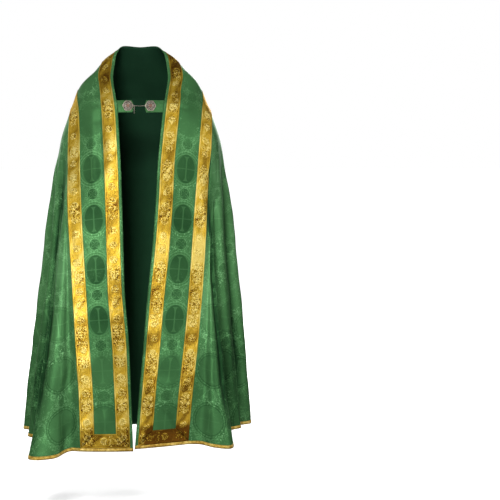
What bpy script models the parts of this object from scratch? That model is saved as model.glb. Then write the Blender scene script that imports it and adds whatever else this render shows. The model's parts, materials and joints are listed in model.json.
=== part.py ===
"""A liturgical cope, worn: a mantle open down the front, two gold bands along its straight edge,
a hood with a fringe on the back, a braid on the hem and a clasp across the chest.

The cloth is modelled as it hangs on a general figure. +Z is up, the front faces -Y, and +X is the
wearer's left. The origin is where the cope is held up: on the nape, at the cloth's inner face.
"""

import math
from collections import namedtuple

import bmesh
import bpy
from mathutils import Vector

# ---------------------------------------------------------------- driving sizes, metres
NAPE_DEPTH = 0.125           # from the neck's axis back to the inner face of the cloth at the nape
CLOTH = 0.002                # wall of the mantle and of the hood
BAND_THICKNESS = 0.001
CLOTH_GAP = 0.0005           # between a panel and what is sewn on it
SEAM_GAP = 0.0003            # between two pieces that meet side by side

EDGE_MARGIN = 0.010          # plain cloth outside the edge band
BAND_WIDTH = 0.048
BRAID_FALL = 0.0104          # the hem braid's share of a fall line, about 12 mm
FOOT_FALL = 0.0418           # the foot band's share of a fall line, about 48 mm

HOOD_HALF_WIDTH = 0.228
HOOD_LENGTH = 0.475
HOOD_CORNER_WIDTH = 0.155
HOOD_CORNER_HEIGHT = 0.205
HOOD_STAND_OFF = 0.0065      # of the hood's inner face from the mantle, below its seam
HOOD_SEAM_STAND_OFF = 0.0032
HOOD_DROP = 0.975            # height lost for each metre down the hood

FRINGE_GAP = 0.0018          # between the hood's edge and the strip that the strands hang from
FRINGE_STRIP = 0.004
FRINGE_LENGTH = 0.042
FRINGE_STRANDS = 110
STRAND_WIDTH = 0.0024

TAB_THICKNESS = 0.0024
TAB_TOP = -0.061
TAB_FOOT = -0.102
ROSETTE_RADIUS = 0.0185
ROSETTE_DEPTH = 0.0045
CHAIN_RADIUS = 0.0011
CHAIN_PITCH = 0.0045
CHAIN_END_LENGTH = 0.029

# ---------------------------------------------------------------- the yoke: ribs across the bands
# Each rib runs from the straight edge, over its crest, to the outer side of the inner band.
# "along" is measured along the straight edge from the centre of the back. These rows are the
# wearer's left side. The right side mirrors them.
Rib = namedtuple("Rib", "along edge crest outer")
YOKE_RIBS = [
    Rib(0.000, (0.000, 0.085, 0.130), (0.000, 0.110, 0.045), (0.000, 0.146, -0.053)),
    Rib(0.075, (0.063, 0.062, 0.131), (0.082, 0.092, 0.052), (0.078, 0.138, -0.052)),
    Rib(0.140, (0.084, 0.004, 0.102), (0.137, 0.042, 0.062), (0.145, 0.108, -0.053)),
    Rib(0.190, (0.091, -0.035, 0.062), (0.166, 0.010, 0.038), (0.190, 0.070, -0.059)),
    Rib(0.240, (0.095, -0.068, 0.020), (0.188, -0.018, 0.014), (0.222, 0.030, -0.064)),
    Rib(0.300, (0.088, -0.104, -0.030), (0.180, -0.060, -0.026), (0.242, -0.014, -0.088)),
    Rib(0.360, (0.079, -0.132, -0.080), (0.172, -0.103, -0.084), (0.248, -0.062, -0.116)),
]
CORNER_ALONG = YOKE_RIBS[-1].along

# ---------------------------------------------------------------- the fronts
# The straight edge and the outer side of the inner band, by height, on each side.
FrontRow = namedtuple("FrontRow", "height edge_x edge_y outer_x outer_y")
RIGHT_FRONT = [
    FrontRow(-0.27, -0.0690, -0.160, -0.2530, -0.112),
    FrontRow(-0.40, -0.0650, -0.178, -0.2510, -0.146),
    FrontRow(-0.57, -0.0610, -0.197, -0.2440, -0.181),
    FrontRow(-0.73, -0.0560, -0.213, -0.2350, -0.210),
    FrontRow(-0.88, -0.0440, -0.226, -0.2260, -0.234),
    FrontRow(-1.05, -0.0370, -0.238, -0.2150, -0.255),
    FrontRow(-1.25, -0.0310, -0.250, -0.2090, -0.272),
]
LEFT_FRONT = [
    FrontRow(-0.27, 0.0585, -0.160, 0.2420, -0.112),
    FrontRow(-0.40, 0.0507, -0.178, 0.2320, -0.143),
    FrontRow(-0.57, 0.0372, -0.197, 0.2200, -0.180),
    FrontRow(-0.73, 0.0200, -0.213, 0.2080, -0.208),
    FrontRow(-0.88, 0.0070, -0.226, 0.1930, -0.232),
    FrontRow(-1.05, -0.0090, -0.238, 0.1730, -0.254),
    FrontRow(-1.25, -0.0255, -0.250, 0.1550, -0.268),
]
RIGHT_EDGE_HEM = -1.256
LEFT_EDGE_HEM = -1.249
FRONT_SWELL = 0.006          # how far the front stands out between its edge and the inner band

# ---------------------------------------------------------------- the folds
# One row for each crest and valley, from the wearer's right front, round the back, to the left.
# "top" is where its fall line leaves the yoke, and the rest is its plan place at waist and hem.
Fold = namedtuple("Fold", "name top waist_x waist_y hem_x hem_y hem_z")
FOLDS = [
    Fold("right_band", -0.360, -0.241, -0.191, -0.209, -0.272, -1.250),
    Fold("right_gutter", -0.353, -0.254, -0.184, -0.248, -0.262, -1.252),
    Fold("right_front_inner", -0.345, -0.267, -0.187, -0.299, -0.300, -1.268),
    Fold("right_front_outer", -0.336, -0.292, -0.165, -0.384, -0.286, -1.270),
    Fold("right_front_valley", -0.326, -0.290, -0.116, -0.352, -0.150, -1.235),
    Fold("right_arm", -0.316, -0.317, -0.085, -0.400, -0.100, -1.226),
    Fold("right_arm_valley", -0.306, -0.310, -0.036, -0.366, -0.028, -1.222),
    Fold("right_side", -0.296, -0.342, 0.005, -0.420, 0.024, -1.222),
    Fold("right_side_valley", -0.284, -0.306, 0.047, -0.348, 0.072, -1.210),
    Fold("right_rear", -0.272, -0.318, 0.092, -0.378, 0.136, -1.216),
    Fold("right_rear_valley", -0.258, -0.264, 0.112, -0.284, 0.132, -1.226),
    Fold("back_right", -0.245, -0.272, 0.160, -0.272, 0.232, -1.236),
    Fold("back_right_middle", -0.170, -0.190, 0.200, -0.185, 0.268, -1.250),
    Fold("back_right_inner", -0.100, -0.110, 0.212, -0.098, 0.260, -1.255),
    Fold("back_centre_right", -0.024, -0.030, 0.217, -0.018, 0.276, -1.257),
    Fold("back_centre_left", 0.024, 0.030, 0.217, 0.040, 0.280, -1.256),
    Fold("back_left_inner", 0.100, 0.110, 0.212, 0.125, 0.262, -1.250),
    Fold("back_left_middle", 0.170, 0.192, 0.198, 0.215, 0.270, -1.243),
    Fold("back_left", 0.245, 0.280, 0.152, 0.312, 0.226, -1.232),
    Fold("left_rear_valley", 0.258, 0.268, 0.106, 0.302, 0.122, -1.204),
    Fold("left_rear", 0.272, 0.318, 0.086, 0.382, 0.112, -1.188),
    Fold("left_side_valley", 0.284, 0.304, 0.044, 0.337, 0.050, -1.196),
    Fold("left_side", 0.296, 0.332, 0.003, 0.386, -0.008, -1.206),
    Fold("left_arm_valley", 0.306, 0.294, -0.045, 0.330, -0.052, -1.208),
    Fold("left_arm", 0.316, 0.290, -0.093, 0.348, -0.104, -1.206),
    Fold("left_front_valley", 0.326, 0.254, -0.124, 0.300, -0.136, -1.216),
    Fold("left_front_outer", 0.336, 0.252, -0.163, 0.308, -0.272, -1.243),
    Fold("left_front_inner", 0.345, 0.238, -0.184, 0.251, -0.288, -1.240),
    Fold("left_gutter", 0.353, 0.229, -0.182, 0.200, -0.266, -1.232),
    Fold("left_band", 0.360, 0.2165, -0.189, 0.155, -0.268, -1.230),
]
WAIST_FALL = 0.46            # the waist's share of a fall line
GROWTH = 0.65                # how fast the skirt spreads below the yoke: the power of the fall
FOLD_START = 0.04            # folds grow in from this share of a fall line
FOLD_FULL = 0.42
BASE_PASSES = 6              # how often the fold line is averaged to find the skirt without folds
ARM_SWELL = 0.055            # the share by which the arms spread the skirt's width at their tops
CORRECTION_ROWS = 4          # fold rows over which the skirt meets the front's own line

COLUMN_AT_HEM = 0.037        # longest step along the hem
COLUMN_AT_YOKE = 0.020
FALLS = [0.0, 0.03, 0.08, 0.15, 0.235, 0.33, 0.43, 0.53, 0.63, 0.73, 0.82, 0.89]
FALLS += [1.0 - BRAID_FALL - FOOT_FALL, 1.0 - BRAID_FALL, 1.0]
BRAID_ROW = len(FALLS) - 2
HEM_ROW = len(FALLS) - 1

# columns of the strip along the straight edge, from the edge to the skirt
EDGE, BAND_1_IN, BAND_1_OUT, BETWEEN, BAND_2_IN, BAND_2_OUT = range(6)


# ---------------------------------------------------------------- curves
def smooth_curve(knots, values, at):
    """A curve through values at rising knots, with slopes taken from the neighbours."""
    last = len(knots) - 1
    i = 0
    while i < last - 1 and at > knots[i + 1]:
        i += 1

    def slope(j):
        if j == 0 or j == last:
            a = min(j, last - 1)
            return (values[a + 1] - values[a]) / (knots[a + 1] - knots[a])
        before = knots[j] - knots[j - 1]
        after = knots[j + 1] - knots[j]
        rise_before = (values[j] - values[j - 1]) / before
        rise_after = (values[j + 1] - values[j]) / after
        return (rise_before * after + rise_after * before) / (before + after)

    width = knots[i + 1] - knots[i]
    t = (at - knots[i]) / width
    start = values[i] * (2 * t**3 - 3 * t**2 + 1) + slope(i) * (width * (t**3 - 2 * t**2 + t))
    end = values[i + 1] * (3 * t**2 - 2 * t**3) + slope(i + 1) * (width * (t**3 - t**2))
    return start + end


def through_three(start, middle, end, middle_at, t):
    """The parabola from start at 0, through middle at middle_at, to end at 1."""
    a = (t - middle_at) * (t - 1.0) / middle_at
    b = t * (1.0 - t) / (middle_at * (1.0 - middle_at))
    c = t * (t - middle_at) / (1.0 - middle_at)
    return start * a + middle * b + end * c


def ease(low, high, value):
    t = min(max((value - low) / (high - low), 0.0), 1.0)
    return t * t * (3.0 - 2.0 * t)


def mirrored_ribs():
    """The yoke's ribs on both sides, as (along, edge, crest, outer) with vectors."""
    ribs = []
    for rib in reversed(YOKE_RIBS[1:]):
        points = [Vector((-p[0], p[1], p[2])) for p in (rib.edge, rib.crest, rib.outer)]
        ribs.append((-rib.along, *points))
    for rib in YOKE_RIBS:
        ribs.append((rib.along, Vector(rib.edge), Vector(rib.crest), Vector(rib.outer)))
    return ribs


RIBS = mirrored_ribs()
RIB_KNOTS = [rib[0] for rib in RIBS]
RIB_EDGE, RIB_CREST, RIB_OUTER = 1, 2, 3


def yoke_line(which, along):
    return smooth_curve(RIB_KNOTS, [rib[which] for rib in RIBS], along)


def points_across(edge, crest, outer):
    """The six strip points on a rib: bands keep their width, and the cloth between takes the rest."""
    samples = 32
    path = [through_three(edge, crest, outer, 0.5, i / samples) for i in range(samples + 1)]
    lengths = [0.0]
    for a, b in zip(path, path[1:]):
        lengths.append(lengths[-1] + (b - a).length)
    total = lengths[-1]
    band_1_out = EDGE_MARGIN + BAND_WIDTH
    band_2_in = total - BAND_WIDTH
    places = [0.0, EDGE_MARGIN, band_1_out, (band_1_out + band_2_in) / 2, band_2_in, total]
    return [smooth_curve(lengths, path, place) for place in places]


# ---------------------------------------------------------------- the fronts and the skirt
def front_rows(side):
    return RIGHT_FRONT if side < 0 else LEFT_FRONT


def front_lines(side, fall):
    """The straight edge's point and the inner band's outer point at a share of the fall."""
    corner = side * CORNER_ALONG
    edge_top = yoke_line(RIB_EDGE, corner)
    outer_top = yoke_line(RIB_OUTER, corner)
    rows = front_rows(side)
    hem_edge = RIGHT_EDGE_HEM if side < 0 else LEFT_EDGE_HEM
    hem_outer = FOLDS[0].hem_z if side < 0 else FOLDS[-1].hem_z
    edge_z = edge_top.z + (hem_edge - edge_top.z) * fall
    outer_z = outer_top.z + (hem_outer - outer_top.z) * fall
    edge_knots = [-edge_top.z] + [-row.height for row in rows]
    outer_knots = [-outer_top.z] + [-row.height for row in rows]
    edge_plan = [edge_top.xy] + [Vector((row.edge_x, row.edge_y)) for row in rows]
    outer_plan = [outer_top.xy] + [Vector((row.outer_x, row.outer_y)) for row in rows]
    edge = smooth_curve(edge_knots, edge_plan, -edge_z)
    outer = smooth_curve(outer_knots, outer_plan, -outer_z)
    return edge.to_3d() + Vector((0, 0, edge_z)), outer.to_3d() + Vector((0, 0, outer_z))


def front_rib(side, fall):
    """The six strip points of the front at a share of the fall."""
    edge, outer = front_lines(side, fall)
    corner = side * CORNER_ALONG
    top_middle = (yoke_line(RIB_EDGE, corner) + yoke_line(RIB_OUTER, corner)) / 2
    top_swell = yoke_line(RIB_CREST, corner) - top_middle
    swell = top_swell * (1.0 - fall) ** 4 + Vector((0, -FRONT_SWELL, 0)) * (1.0 - (1.0 - fall) ** 4)
    return points_across(edge, (edge + outer) / 2 + swell, outer)


def averaged(points, passes):
    """The same open line with its wiggles averaged away and its ends kept."""
    for _ in range(passes):
        middle = [
            points[i - 1] * 0.25 + points[i] * 0.5 + points[i + 1] * 0.25
            for i in range(1, len(points) - 1)
        ]
        points = [points[0]] + middle + [points[-1]]
    return points


ROWS = list(range(len(FOLDS)))
WAIST = [Vector((fold.waist_x, fold.waist_y)) for fold in FOLDS]
HEM = [Vector((fold.hem_x, fold.hem_y)) for fold in FOLDS]
HEM_Z = [fold.hem_z for fold in FOLDS]
TOPS = [fold.top for fold in FOLDS]
BASE_WAIST = averaged(WAIST, BASE_PASSES)
BASE_HEM = averaged(HEM, BASE_PASSES)
WAIST_GROWTH = WAIST_FALL**GROWTH


def top_of(row):
    """Where the fall line of a fractional fold row leaves the yoke."""
    i = min(int(row), len(FOLDS) - 2)
    return TOPS[i] + (TOPS[i + 1] - TOPS[i]) * (row - i)


def skirt_point(row, fall):
    """A point of the skirt on a fractional fold row, with its folds."""
    top = yoke_line(RIB_OUTER, top_of(row))
    growth = fall**GROWTH
    waist = smooth_curve(ROWS, BASE_WAIST, row)
    hem = smooth_curve(ROWS, BASE_HEM, row)
    plan = through_three(top.xy, waist, hem, WAIST_GROWTH, growth)
    waist_fold = smooth_curve(ROWS, WAIST, row) - waist
    hem_fold = smooth_curve(ROWS, HEM, row) - hem
    fold = through_three(Vector((0, 0)), waist_fold, hem_fold, WAIST_GROWTH, growth)
    plan += fold * ease(FOLD_START, FOLD_FULL, fall)
    height = top.z + (smooth_curve(ROWS, HEM_Z, row) - top.z) * fall
    arms = ARM_SWELL * ease(0.0, 0.12, fall) * (1.0 - ease(0.14, 0.48, fall))
    front_distance = min(row, ROWS[-1] - row)
    plan.x *= 1.0 + arms * ease(0, CORRECTION_ROWS, front_distance)
    for side, distance in ((-1, row), (1, ROWS[-1] - row)):
        if distance < CORRECTION_ROWS:
            share = (1.0 - distance / CORRECTION_ROWS) ** 2
            end_row = 0 if side < 0 else ROWS[-1]
            end_top = yoke_line(RIB_OUTER, top_of(end_row)).xy
            plain = through_three(end_top, WAIST[end_row], HEM[end_row], WAIST_GROWTH, growth)
            plan += (front_lines(side, fall)[1].xy - plain) * share
    return plan.to_3d() + Vector((0, 0, height))


def column_rows():
    """The fractional fold rows of the mantle's columns, close enough at the hem and the yoke."""
    rows = [0.0]
    for i in range(len(FOLDS) - 1):
        hem_step = (HEM[i + 1] - HEM[i]).length / COLUMN_AT_HEM
        yoke_step = (TOPS[i + 1] - TOPS[i]) / COLUMN_AT_YOKE
        steps = max(2, math.ceil(max(hem_step, yoke_step)))
        rows += [i + (step + 1) / steps for step in range(steps)]
    return rows


COLUMNS = column_rows()
LAST_COLUMN = len(COLUMNS) - 1


# ---------------------------------------------------------------- solids from a sheet of faces
def point_normals(points, faces):
    """A normal for each point, the sum of its faces' normals weighted by area."""
    sums = {key: Vector((0, 0, 0)) for face in faces for key in face}
    for face in faces:
        a, b, c = (points[key] for key in face)
        normal = (b - a).cross(c - a)
        for key in face:
            sums[key] += normal
    return {key: total.normalized() for key, total in sums.items()}


def open_edges(faces):
    """The sheet's border, as directed pairs of keys."""
    directed = {(face[i], face[(i + 1) % 3]) for face in faces for i in range(3)}
    return sorted(pair for pair in directed if (pair[1], pair[0]) not in directed)


def drawn_in(points, faces, distance):
    """The sheet's points with its border moved in along its faces, so that seams keep a gap."""
    face_of = {(face[i], face[(i + 1) % 3]): face for face in faces for i in range(3)}
    inward = {}
    for a, b in open_edges(faces):
        corners = [points[key] for key in face_of[(a, b)]]
        normal = (corners[1] - corners[0]).cross(corners[2] - corners[0]).normalized()
        direction = normal.cross((points[b] - points[a]).normalized())
        for key in (a, b):
            inward.setdefault(key, []).append(direction)
    moved = {key: points[key] for face in faces for key in face}
    for key, directions in inward.items():
        total = sum(directions, Vector((0, 0, 0)))
        moved[key] = points[key] + total * (distance * len(directions) / total.length_squared)
    return moved


def wall(name, points, faces, low, high, material, normals=None, seam=0.0):
    """One closed wall over a sheet of triangles, from low to high along each point's normal."""
    normals = normals or point_normals(points, faces)
    if seam:
        points = drawn_in(points, faces, seam / 2)
    keys = sorted({key for face in faces for key in face})
    index = {key: i for i, key in enumerate(keys)}
    count = len(keys)
    vertices = [points[key] + normals[key] * high for key in keys]
    vertices += [points[key] + normals[key] * low for key in keys]
    polygons = [tuple(index[key] for key in face) for face in faces]
    polygons += [tuple(index[key] + count for key in reversed(face)) for face in faces]
    for a, b in open_edges(faces):
        polygons.append((index[b], index[a], index[a] + count, index[b] + count))
    return add_object(name, vertices, polygons, material)


def add_object(name, vertices, polygons, material):
    mesh = bpy.data.meshes.new(name)
    shift = Vector((0, -NAPE_DEPTH, 0))
    mesh.from_pydata([tuple(vertex + shift) for vertex in vertices], [], polygons)
    work = bmesh.new()
    work.from_mesh(mesh)
    bmesh.ops.triangulate(work, faces=[face for face in work.faces if len(face.verts) > 3])
    work.to_mesh(mesh)
    work.free()
    mesh.materials.append(material)
    mesh.shade_smooth()
    mesh.set_sharp_from_angle(angle=math.radians(40))
    part = bpy.data.objects.new(name, mesh)
    bpy.context.scene.collection.objects.link(part)
    return part


def quad(a, b, c, d):
    return [(a, b, c), (a, c, d)]


def facing(points, faces, toward):
    """The same faces, turned where needed to face a direction."""
    total = Vector((0, 0, 0))
    for face in faces:
        a, b, c = (points[key] for key in face)
        total += (b - a).cross(c - a)
    return faces if total.dot(toward) > 0 else [tuple(reversed(face)) for face in faces]


def surface(name, colour, roughness, metallic):
    material = bpy.data.materials.new(name)
    material.use_nodes = True
    shader = material.node_tree.nodes["Principled BSDF"]
    shader.inputs["Base Color"].default_value = (*colour, 1.0)
    shader.inputs["Roughness"].default_value = roughness
    shader.inputs["Metallic"].default_value = metallic
    material.diffuse_color = (*colour, 1.0)
    return material


# ---------------------------------------------------------------- the mantle
LAST_STATION = 2 * HEM_ROW + LAST_COLUMN


def mantle_points():
    """The mantle's outer points: ("right" or "left", fall row, strip column) on the fronts,
    ("yoke", mantle column, strip column) over the shoulders and ("skirt", mantle column, row)."""
    points = {}
    for side, name in ((-1, "right"), (1, "left")):
        for row in range(1, len(FALLS)):
            for column, point in enumerate(front_rib(side, FALLS[row])):
                points[(name, row, column)] = point
    for k, fold_row in enumerate(COLUMNS):
        along = top_of(fold_row)
        rib = [yoke_line(which, along) for which in (RIB_EDGE, RIB_CREST, RIB_OUTER)]
        for column, point in enumerate(points_across(*rib)):
            points[("yoke", k, column)] = point
    for k in range(1, LAST_COLUMN):
        for row in range(1, len(FALLS)):
            points[("skirt", k, row)] = skirt_point(COLUMNS[k], FALLS[row])
    return points


def strip_key(station, column):
    """The key at a station of the straight edge, from the right hem over the neck to the left."""
    if station < HEM_ROW:
        return ("right", HEM_ROW - station, column)
    if station <= HEM_ROW + LAST_COLUMN:
        return ("yoke", station - HEM_ROW, column)
    return ("left", station - HEM_ROW - LAST_COLUMN, column)


def skirt_key(column, row):
    if row == 0:
        return ("yoke", column, BAND_2_OUT)
    if column == 0:
        return ("right", row, BAND_2_OUT)
    if column == LAST_COLUMN:
        return ("left", row, BAND_2_OUT)
    return ("skirt", column, row)


# The stations between which the foot bands lie, and the cells that their mitres cut.
RIGHT_FOOT = HEM_ROW - BRAID_ROW
LEFT_FOOT = LAST_STATION - RIGHT_FOOT - 1
RISING_MITRES = {(RIGHT_FOOT, BAND_2_IN), (LEFT_FOOT, BAND_1_IN)}


def strip_cell(station, column):
    """Two triangles of the strip, split along the mitre where there is one."""
    a, b = strip_key(station, column), strip_key(station + 1, column)
    c, d = strip_key(station + 1, column + 1), strip_key(station, column + 1)
    if (station, column) in RISING_MITRES:
        return quad(b, c, d, a)
    return quad(a, b, c, d)


def strip_faces(first_column, last_column, start, end):
    cells = [
        strip_cell(station, column)
        for station in range(start, end)
        for column in range(first_column, last_column)
    ]
    return [face for cell in cells for face in cell]


def skirt_faces(first_row, last_row):
    faces = []
    for column in range(LAST_COLUMN):
        for row in range(first_row, last_row):
            corners = [skirt_key(column, row), skirt_key(column + 1, row)]
            corners += [skirt_key(column + 1, row + 1), skirt_key(column, row + 1)]
            faces += quad(*corners)
    return faces


def on_braid_line(key):
    return key[0] in ("right", "left") and key[1] == BRAID_ROW


def mitred(station, column, for_foot):
    """The mitred cell's triangle that belongs to the foot band, or the one beside it."""
    faces = strip_cell(station, column)
    return [face for face in faces if (sum(map(on_braid_line, face)) == 2) == for_foot]


def band_faces(column):
    """A band's faces, from mitre to mitre."""
    faces = strip_faces(column, column + 1, RIGHT_FOOT + 1, LEFT_FOOT)
    faces += mitred(RIGHT_FOOT, column, for_foot=False)
    return faces + mitred(LEFT_FOOT, column, for_foot=False)


def foot_faces(station):
    faces = strip_faces(BAND_1_OUT, BAND_2_IN, station, station + 1)
    return faces + mitred(station, BAND_1_IN, True) + mitred(station, BAND_2_IN, True)


def hem_faces():
    right = strip_faces(EDGE, BAND_2_OUT, 0, RIGHT_FOOT)
    left = strip_faces(EDGE, BAND_2_OUT, LEFT_FOOT + 1, LAST_STATION)
    return right + skirt_faces(BRAID_ROW, HEM_ROW) + left


def bar_faces():
    rows = [i for i, fold in enumerate(FOLDS) if fold.name.startswith("back_centre")]
    start = HEM_ROW + COLUMNS.index(rows[0])
    end = HEM_ROW + COLUMNS.index(rows[1])
    return strip_faces(BAND_1_OUT, BAND_2_IN, start, end)


def build_mantle(silk, gold):
    points = mantle_points()
    whole = strip_faces(EDGE, BAND_2_OUT, 0, LAST_STATION) + skirt_faces(0, HEM_ROW)
    normals = point_normals(points, whole)
    wall("mantle", points, whole, -CLOTH, 0.0, silk, normals)
    pieces = {
        "orphrey_band_edge": band_faces(BAND_1_IN),
        "orphrey_band_inner": band_faces(BAND_2_IN),
        "orphrey_foot_right": foot_faces(RIGHT_FOOT),
        "orphrey_foot_left": foot_faces(LEFT_FOOT),
        "orphrey_bar_back": bar_faces(),
        "hem_braid": hem_faces(),
    }
    top = CLOTH_GAP + BAND_THICKNESS
    for name, faces in pieces.items():
        wall(name, points, faces, CLOTH_GAP, top, gold, normals, seam=SEAM_GAP)
    return points


# ---------------------------------------------------------------- the hood
BACK_ROWS = [i for i, fold in enumerate(FOLDS) if "back" in fold.name]


def back_point(x, z):
    """The mantle's back, where it is x to the side at height z."""
    plans = []
    for row in BACK_ROWS:
        top = yoke_line(RIB_OUTER, top_of(row)).z
        fall = max((top - z) / (top - HEM_Z[row]), 0.0)
        plans.append(skirt_point(row, fall))
    return Vector((x, smooth_curve([p.x for p in plans], [p.y for p in plans], x), z))


def back_normal(x, z):
    step = 0.004
    across = back_point(x + step, z) - back_point(x - step, z)
    down = back_point(x, z - step) - back_point(x, z + step)
    return across.cross(down).normalized()


def hood_point(across, down, lift=0.0):
    """The hood's outer face at a distance to the side and a distance down from its seam."""
    seam = yoke_line(RIB_OUTER, across)
    z = seam.z - SEAM_GAP - HOOD_DROP * down
    stand_off = HOOD_SEAM_STAND_OFF + (HOOD_STAND_OFF - HOOD_SEAM_STAND_OFF) * ease(0, 0.04, down)
    return back_point(seam.x, z) + back_normal(seam.x, z) * (stand_off + CLOTH + lift)


def hood_outline(steps_side, steps_corner, steps_foot):
    """Half the outline from the seam's end down to the foot's middle, as (point, outward)."""
    side_end = HOOD_LENGTH - HOOD_CORNER_HEIGHT
    foot_half = HOOD_HALF_WIDTH - HOOD_CORNER_WIDTH
    outline = []
    for i in range(steps_side):
        outline.append((Vector((HOOD_HALF_WIDTH, side_end * i / steps_side)), Vector((1, 0))))
    for i in range(steps_corner + 1):
        turn = math.pi / 2 * i / steps_corner
        point = (foot_half + HOOD_CORNER_WIDTH * math.cos(turn),
                 side_end + HOOD_CORNER_HEIGHT * math.sin(turn))
        outward = Vector((HOOD_CORNER_HEIGHT * math.cos(turn), HOOD_CORNER_WIDTH * math.sin(turn)))
        outline.append((Vector(point), outward.normalized()))
    for i in range(1, steps_foot + 1):
        outline.append((Vector((foot_half * (1 - i / steps_foot), HOOD_LENGTH)), Vector((0, 1))))
    return outline


SIDE_STEPS, CORNER_STEPS, FOOT_STEPS = 7, 7, 8
RING_STEPS = 2               # cells across the hood's band


def hood_flat_points():
    """The hood's points in its flat cut: rings under its bands and rows across its middle."""
    half = hood_outline(SIDE_STEPS, CORNER_STEPS, FOOT_STEPS)
    rail = SIDE_STEPS + CORNER_STEPS
    flat = {}
    for ring in range(RING_STEPS + 1):
        inset = BAND_WIDTH * ring / RING_STEPS
        for i, (point, outward) in enumerate(half):
            place = point - outward * inset
            if i == 0:
                place = Vector((HOOD_HALF_WIDTH - inset, inset))
            elif i < SIDE_STEPS:
                top = inset
                place.y = top + (HOOD_LENGTH - HOOD_CORNER_HEIGHT - top) * i / SIDE_STEPS
            for side in (-1, 1):
                flat[("ring", ring, side * (len(half) - 1 - i))] = Vector((side * place.x, place.y))
    return flat, rail, len(half) - 1


def build_hood(silk, gold):
    flat, rail, ends = hood_flat_points()
    across = 2 * FOOT_STEPS
    inner_half = HOOD_HALF_WIDTH - BAND_WIDTH
    for ring in range(RING_STEPS + 1):
        inset = BAND_WIDTH * ring / RING_STEPS
        reach = HOOD_HALF_WIDTH - inset
        for j in range(1, across):
            share = 2 * j / across - 1
            x = share * inner_half + (reach - inner_half) * share**9
            flat[("top", ring, j)] = Vector((x, inset))

    def ring_key(ring, i):
        return ("ring", ring, i)

    def top_key(ring, j):
        if j in (0, across):
            return ring_key(ring, -ends if j == 0 else ends)
        return ("top", ring, j)

    def middle_key(row, j):
        """Rows across the middle, from the top band's lower edge to the foot's band."""
        if row == 0:
            return top_key(RING_STEPS, j)
        if row == rail:
            return ring_key(RING_STEPS, j - FOOT_STEPS)
        if j in (0, across):
            return ring_key(RING_STEPS, (row - ends) if j == 0 else (ends - row))
        return ("middle", row, j)

    for row in range(1, rail):
        left, right = flat[middle_key(row, 0)], flat[middle_key(row, across)]
        for j in range(1, across):
            flat[("middle", row, j)] = left + (right - left) * (j / across)

    side_faces, top_faces, middle_faces = [], [], []
    for ring in range(RING_STEPS):
        for i in range(-ends, ends):
            corners = [ring_key(ring, i), ring_key(ring, i + 1)]
            corners += [ring_key(ring + 1, i + 1), ring_key(ring + 1, i)]
            side_faces += quad(*corners)
        for j in range(across):
            corners = [top_key(ring, j), top_key(ring + 1, j)]
            corners += [top_key(ring + 1, j + 1), top_key(ring, j + 1)]
            top_faces += quad(*corners)
    for row in range(rail):
        for j in range(across):
            corners = [middle_key(row, j), middle_key(row + 1, j)]
            corners += [middle_key(row + 1, j + 1), middle_key(row, j + 1)]
            middle_faces += quad(*corners)

    points = {key: hood_point(place.x, place.y) for key, place in flat.items()}
    back = Vector((0, 1, 0))
    side_faces = facing(points, side_faces, back)
    top_faces = facing(points, top_faces, back)
    middle_faces = facing(points, middle_faces, back)
    whole = side_faces + top_faces + middle_faces
    normals = point_normals(points, whole)
    wall("hood", points, whole, -CLOTH, 0.0, silk, normals)
    top = CLOTH_GAP + BAND_THICKNESS
    wall("hood_band_sides", points, side_faces, CLOTH_GAP, top, gold, normals, seam=SEAM_GAP)
    wall("hood_band_top", points, top_faces, CLOTH_GAP, top, gold, normals, seam=SEAM_GAP)


def outline_lengths(outline):
    lengths = [0.0]
    for (a, _), (b, _) in zip(outline, outline[1:]):
        lengths.append(lengths[-1] + (b - a).length)
    return lengths


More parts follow.
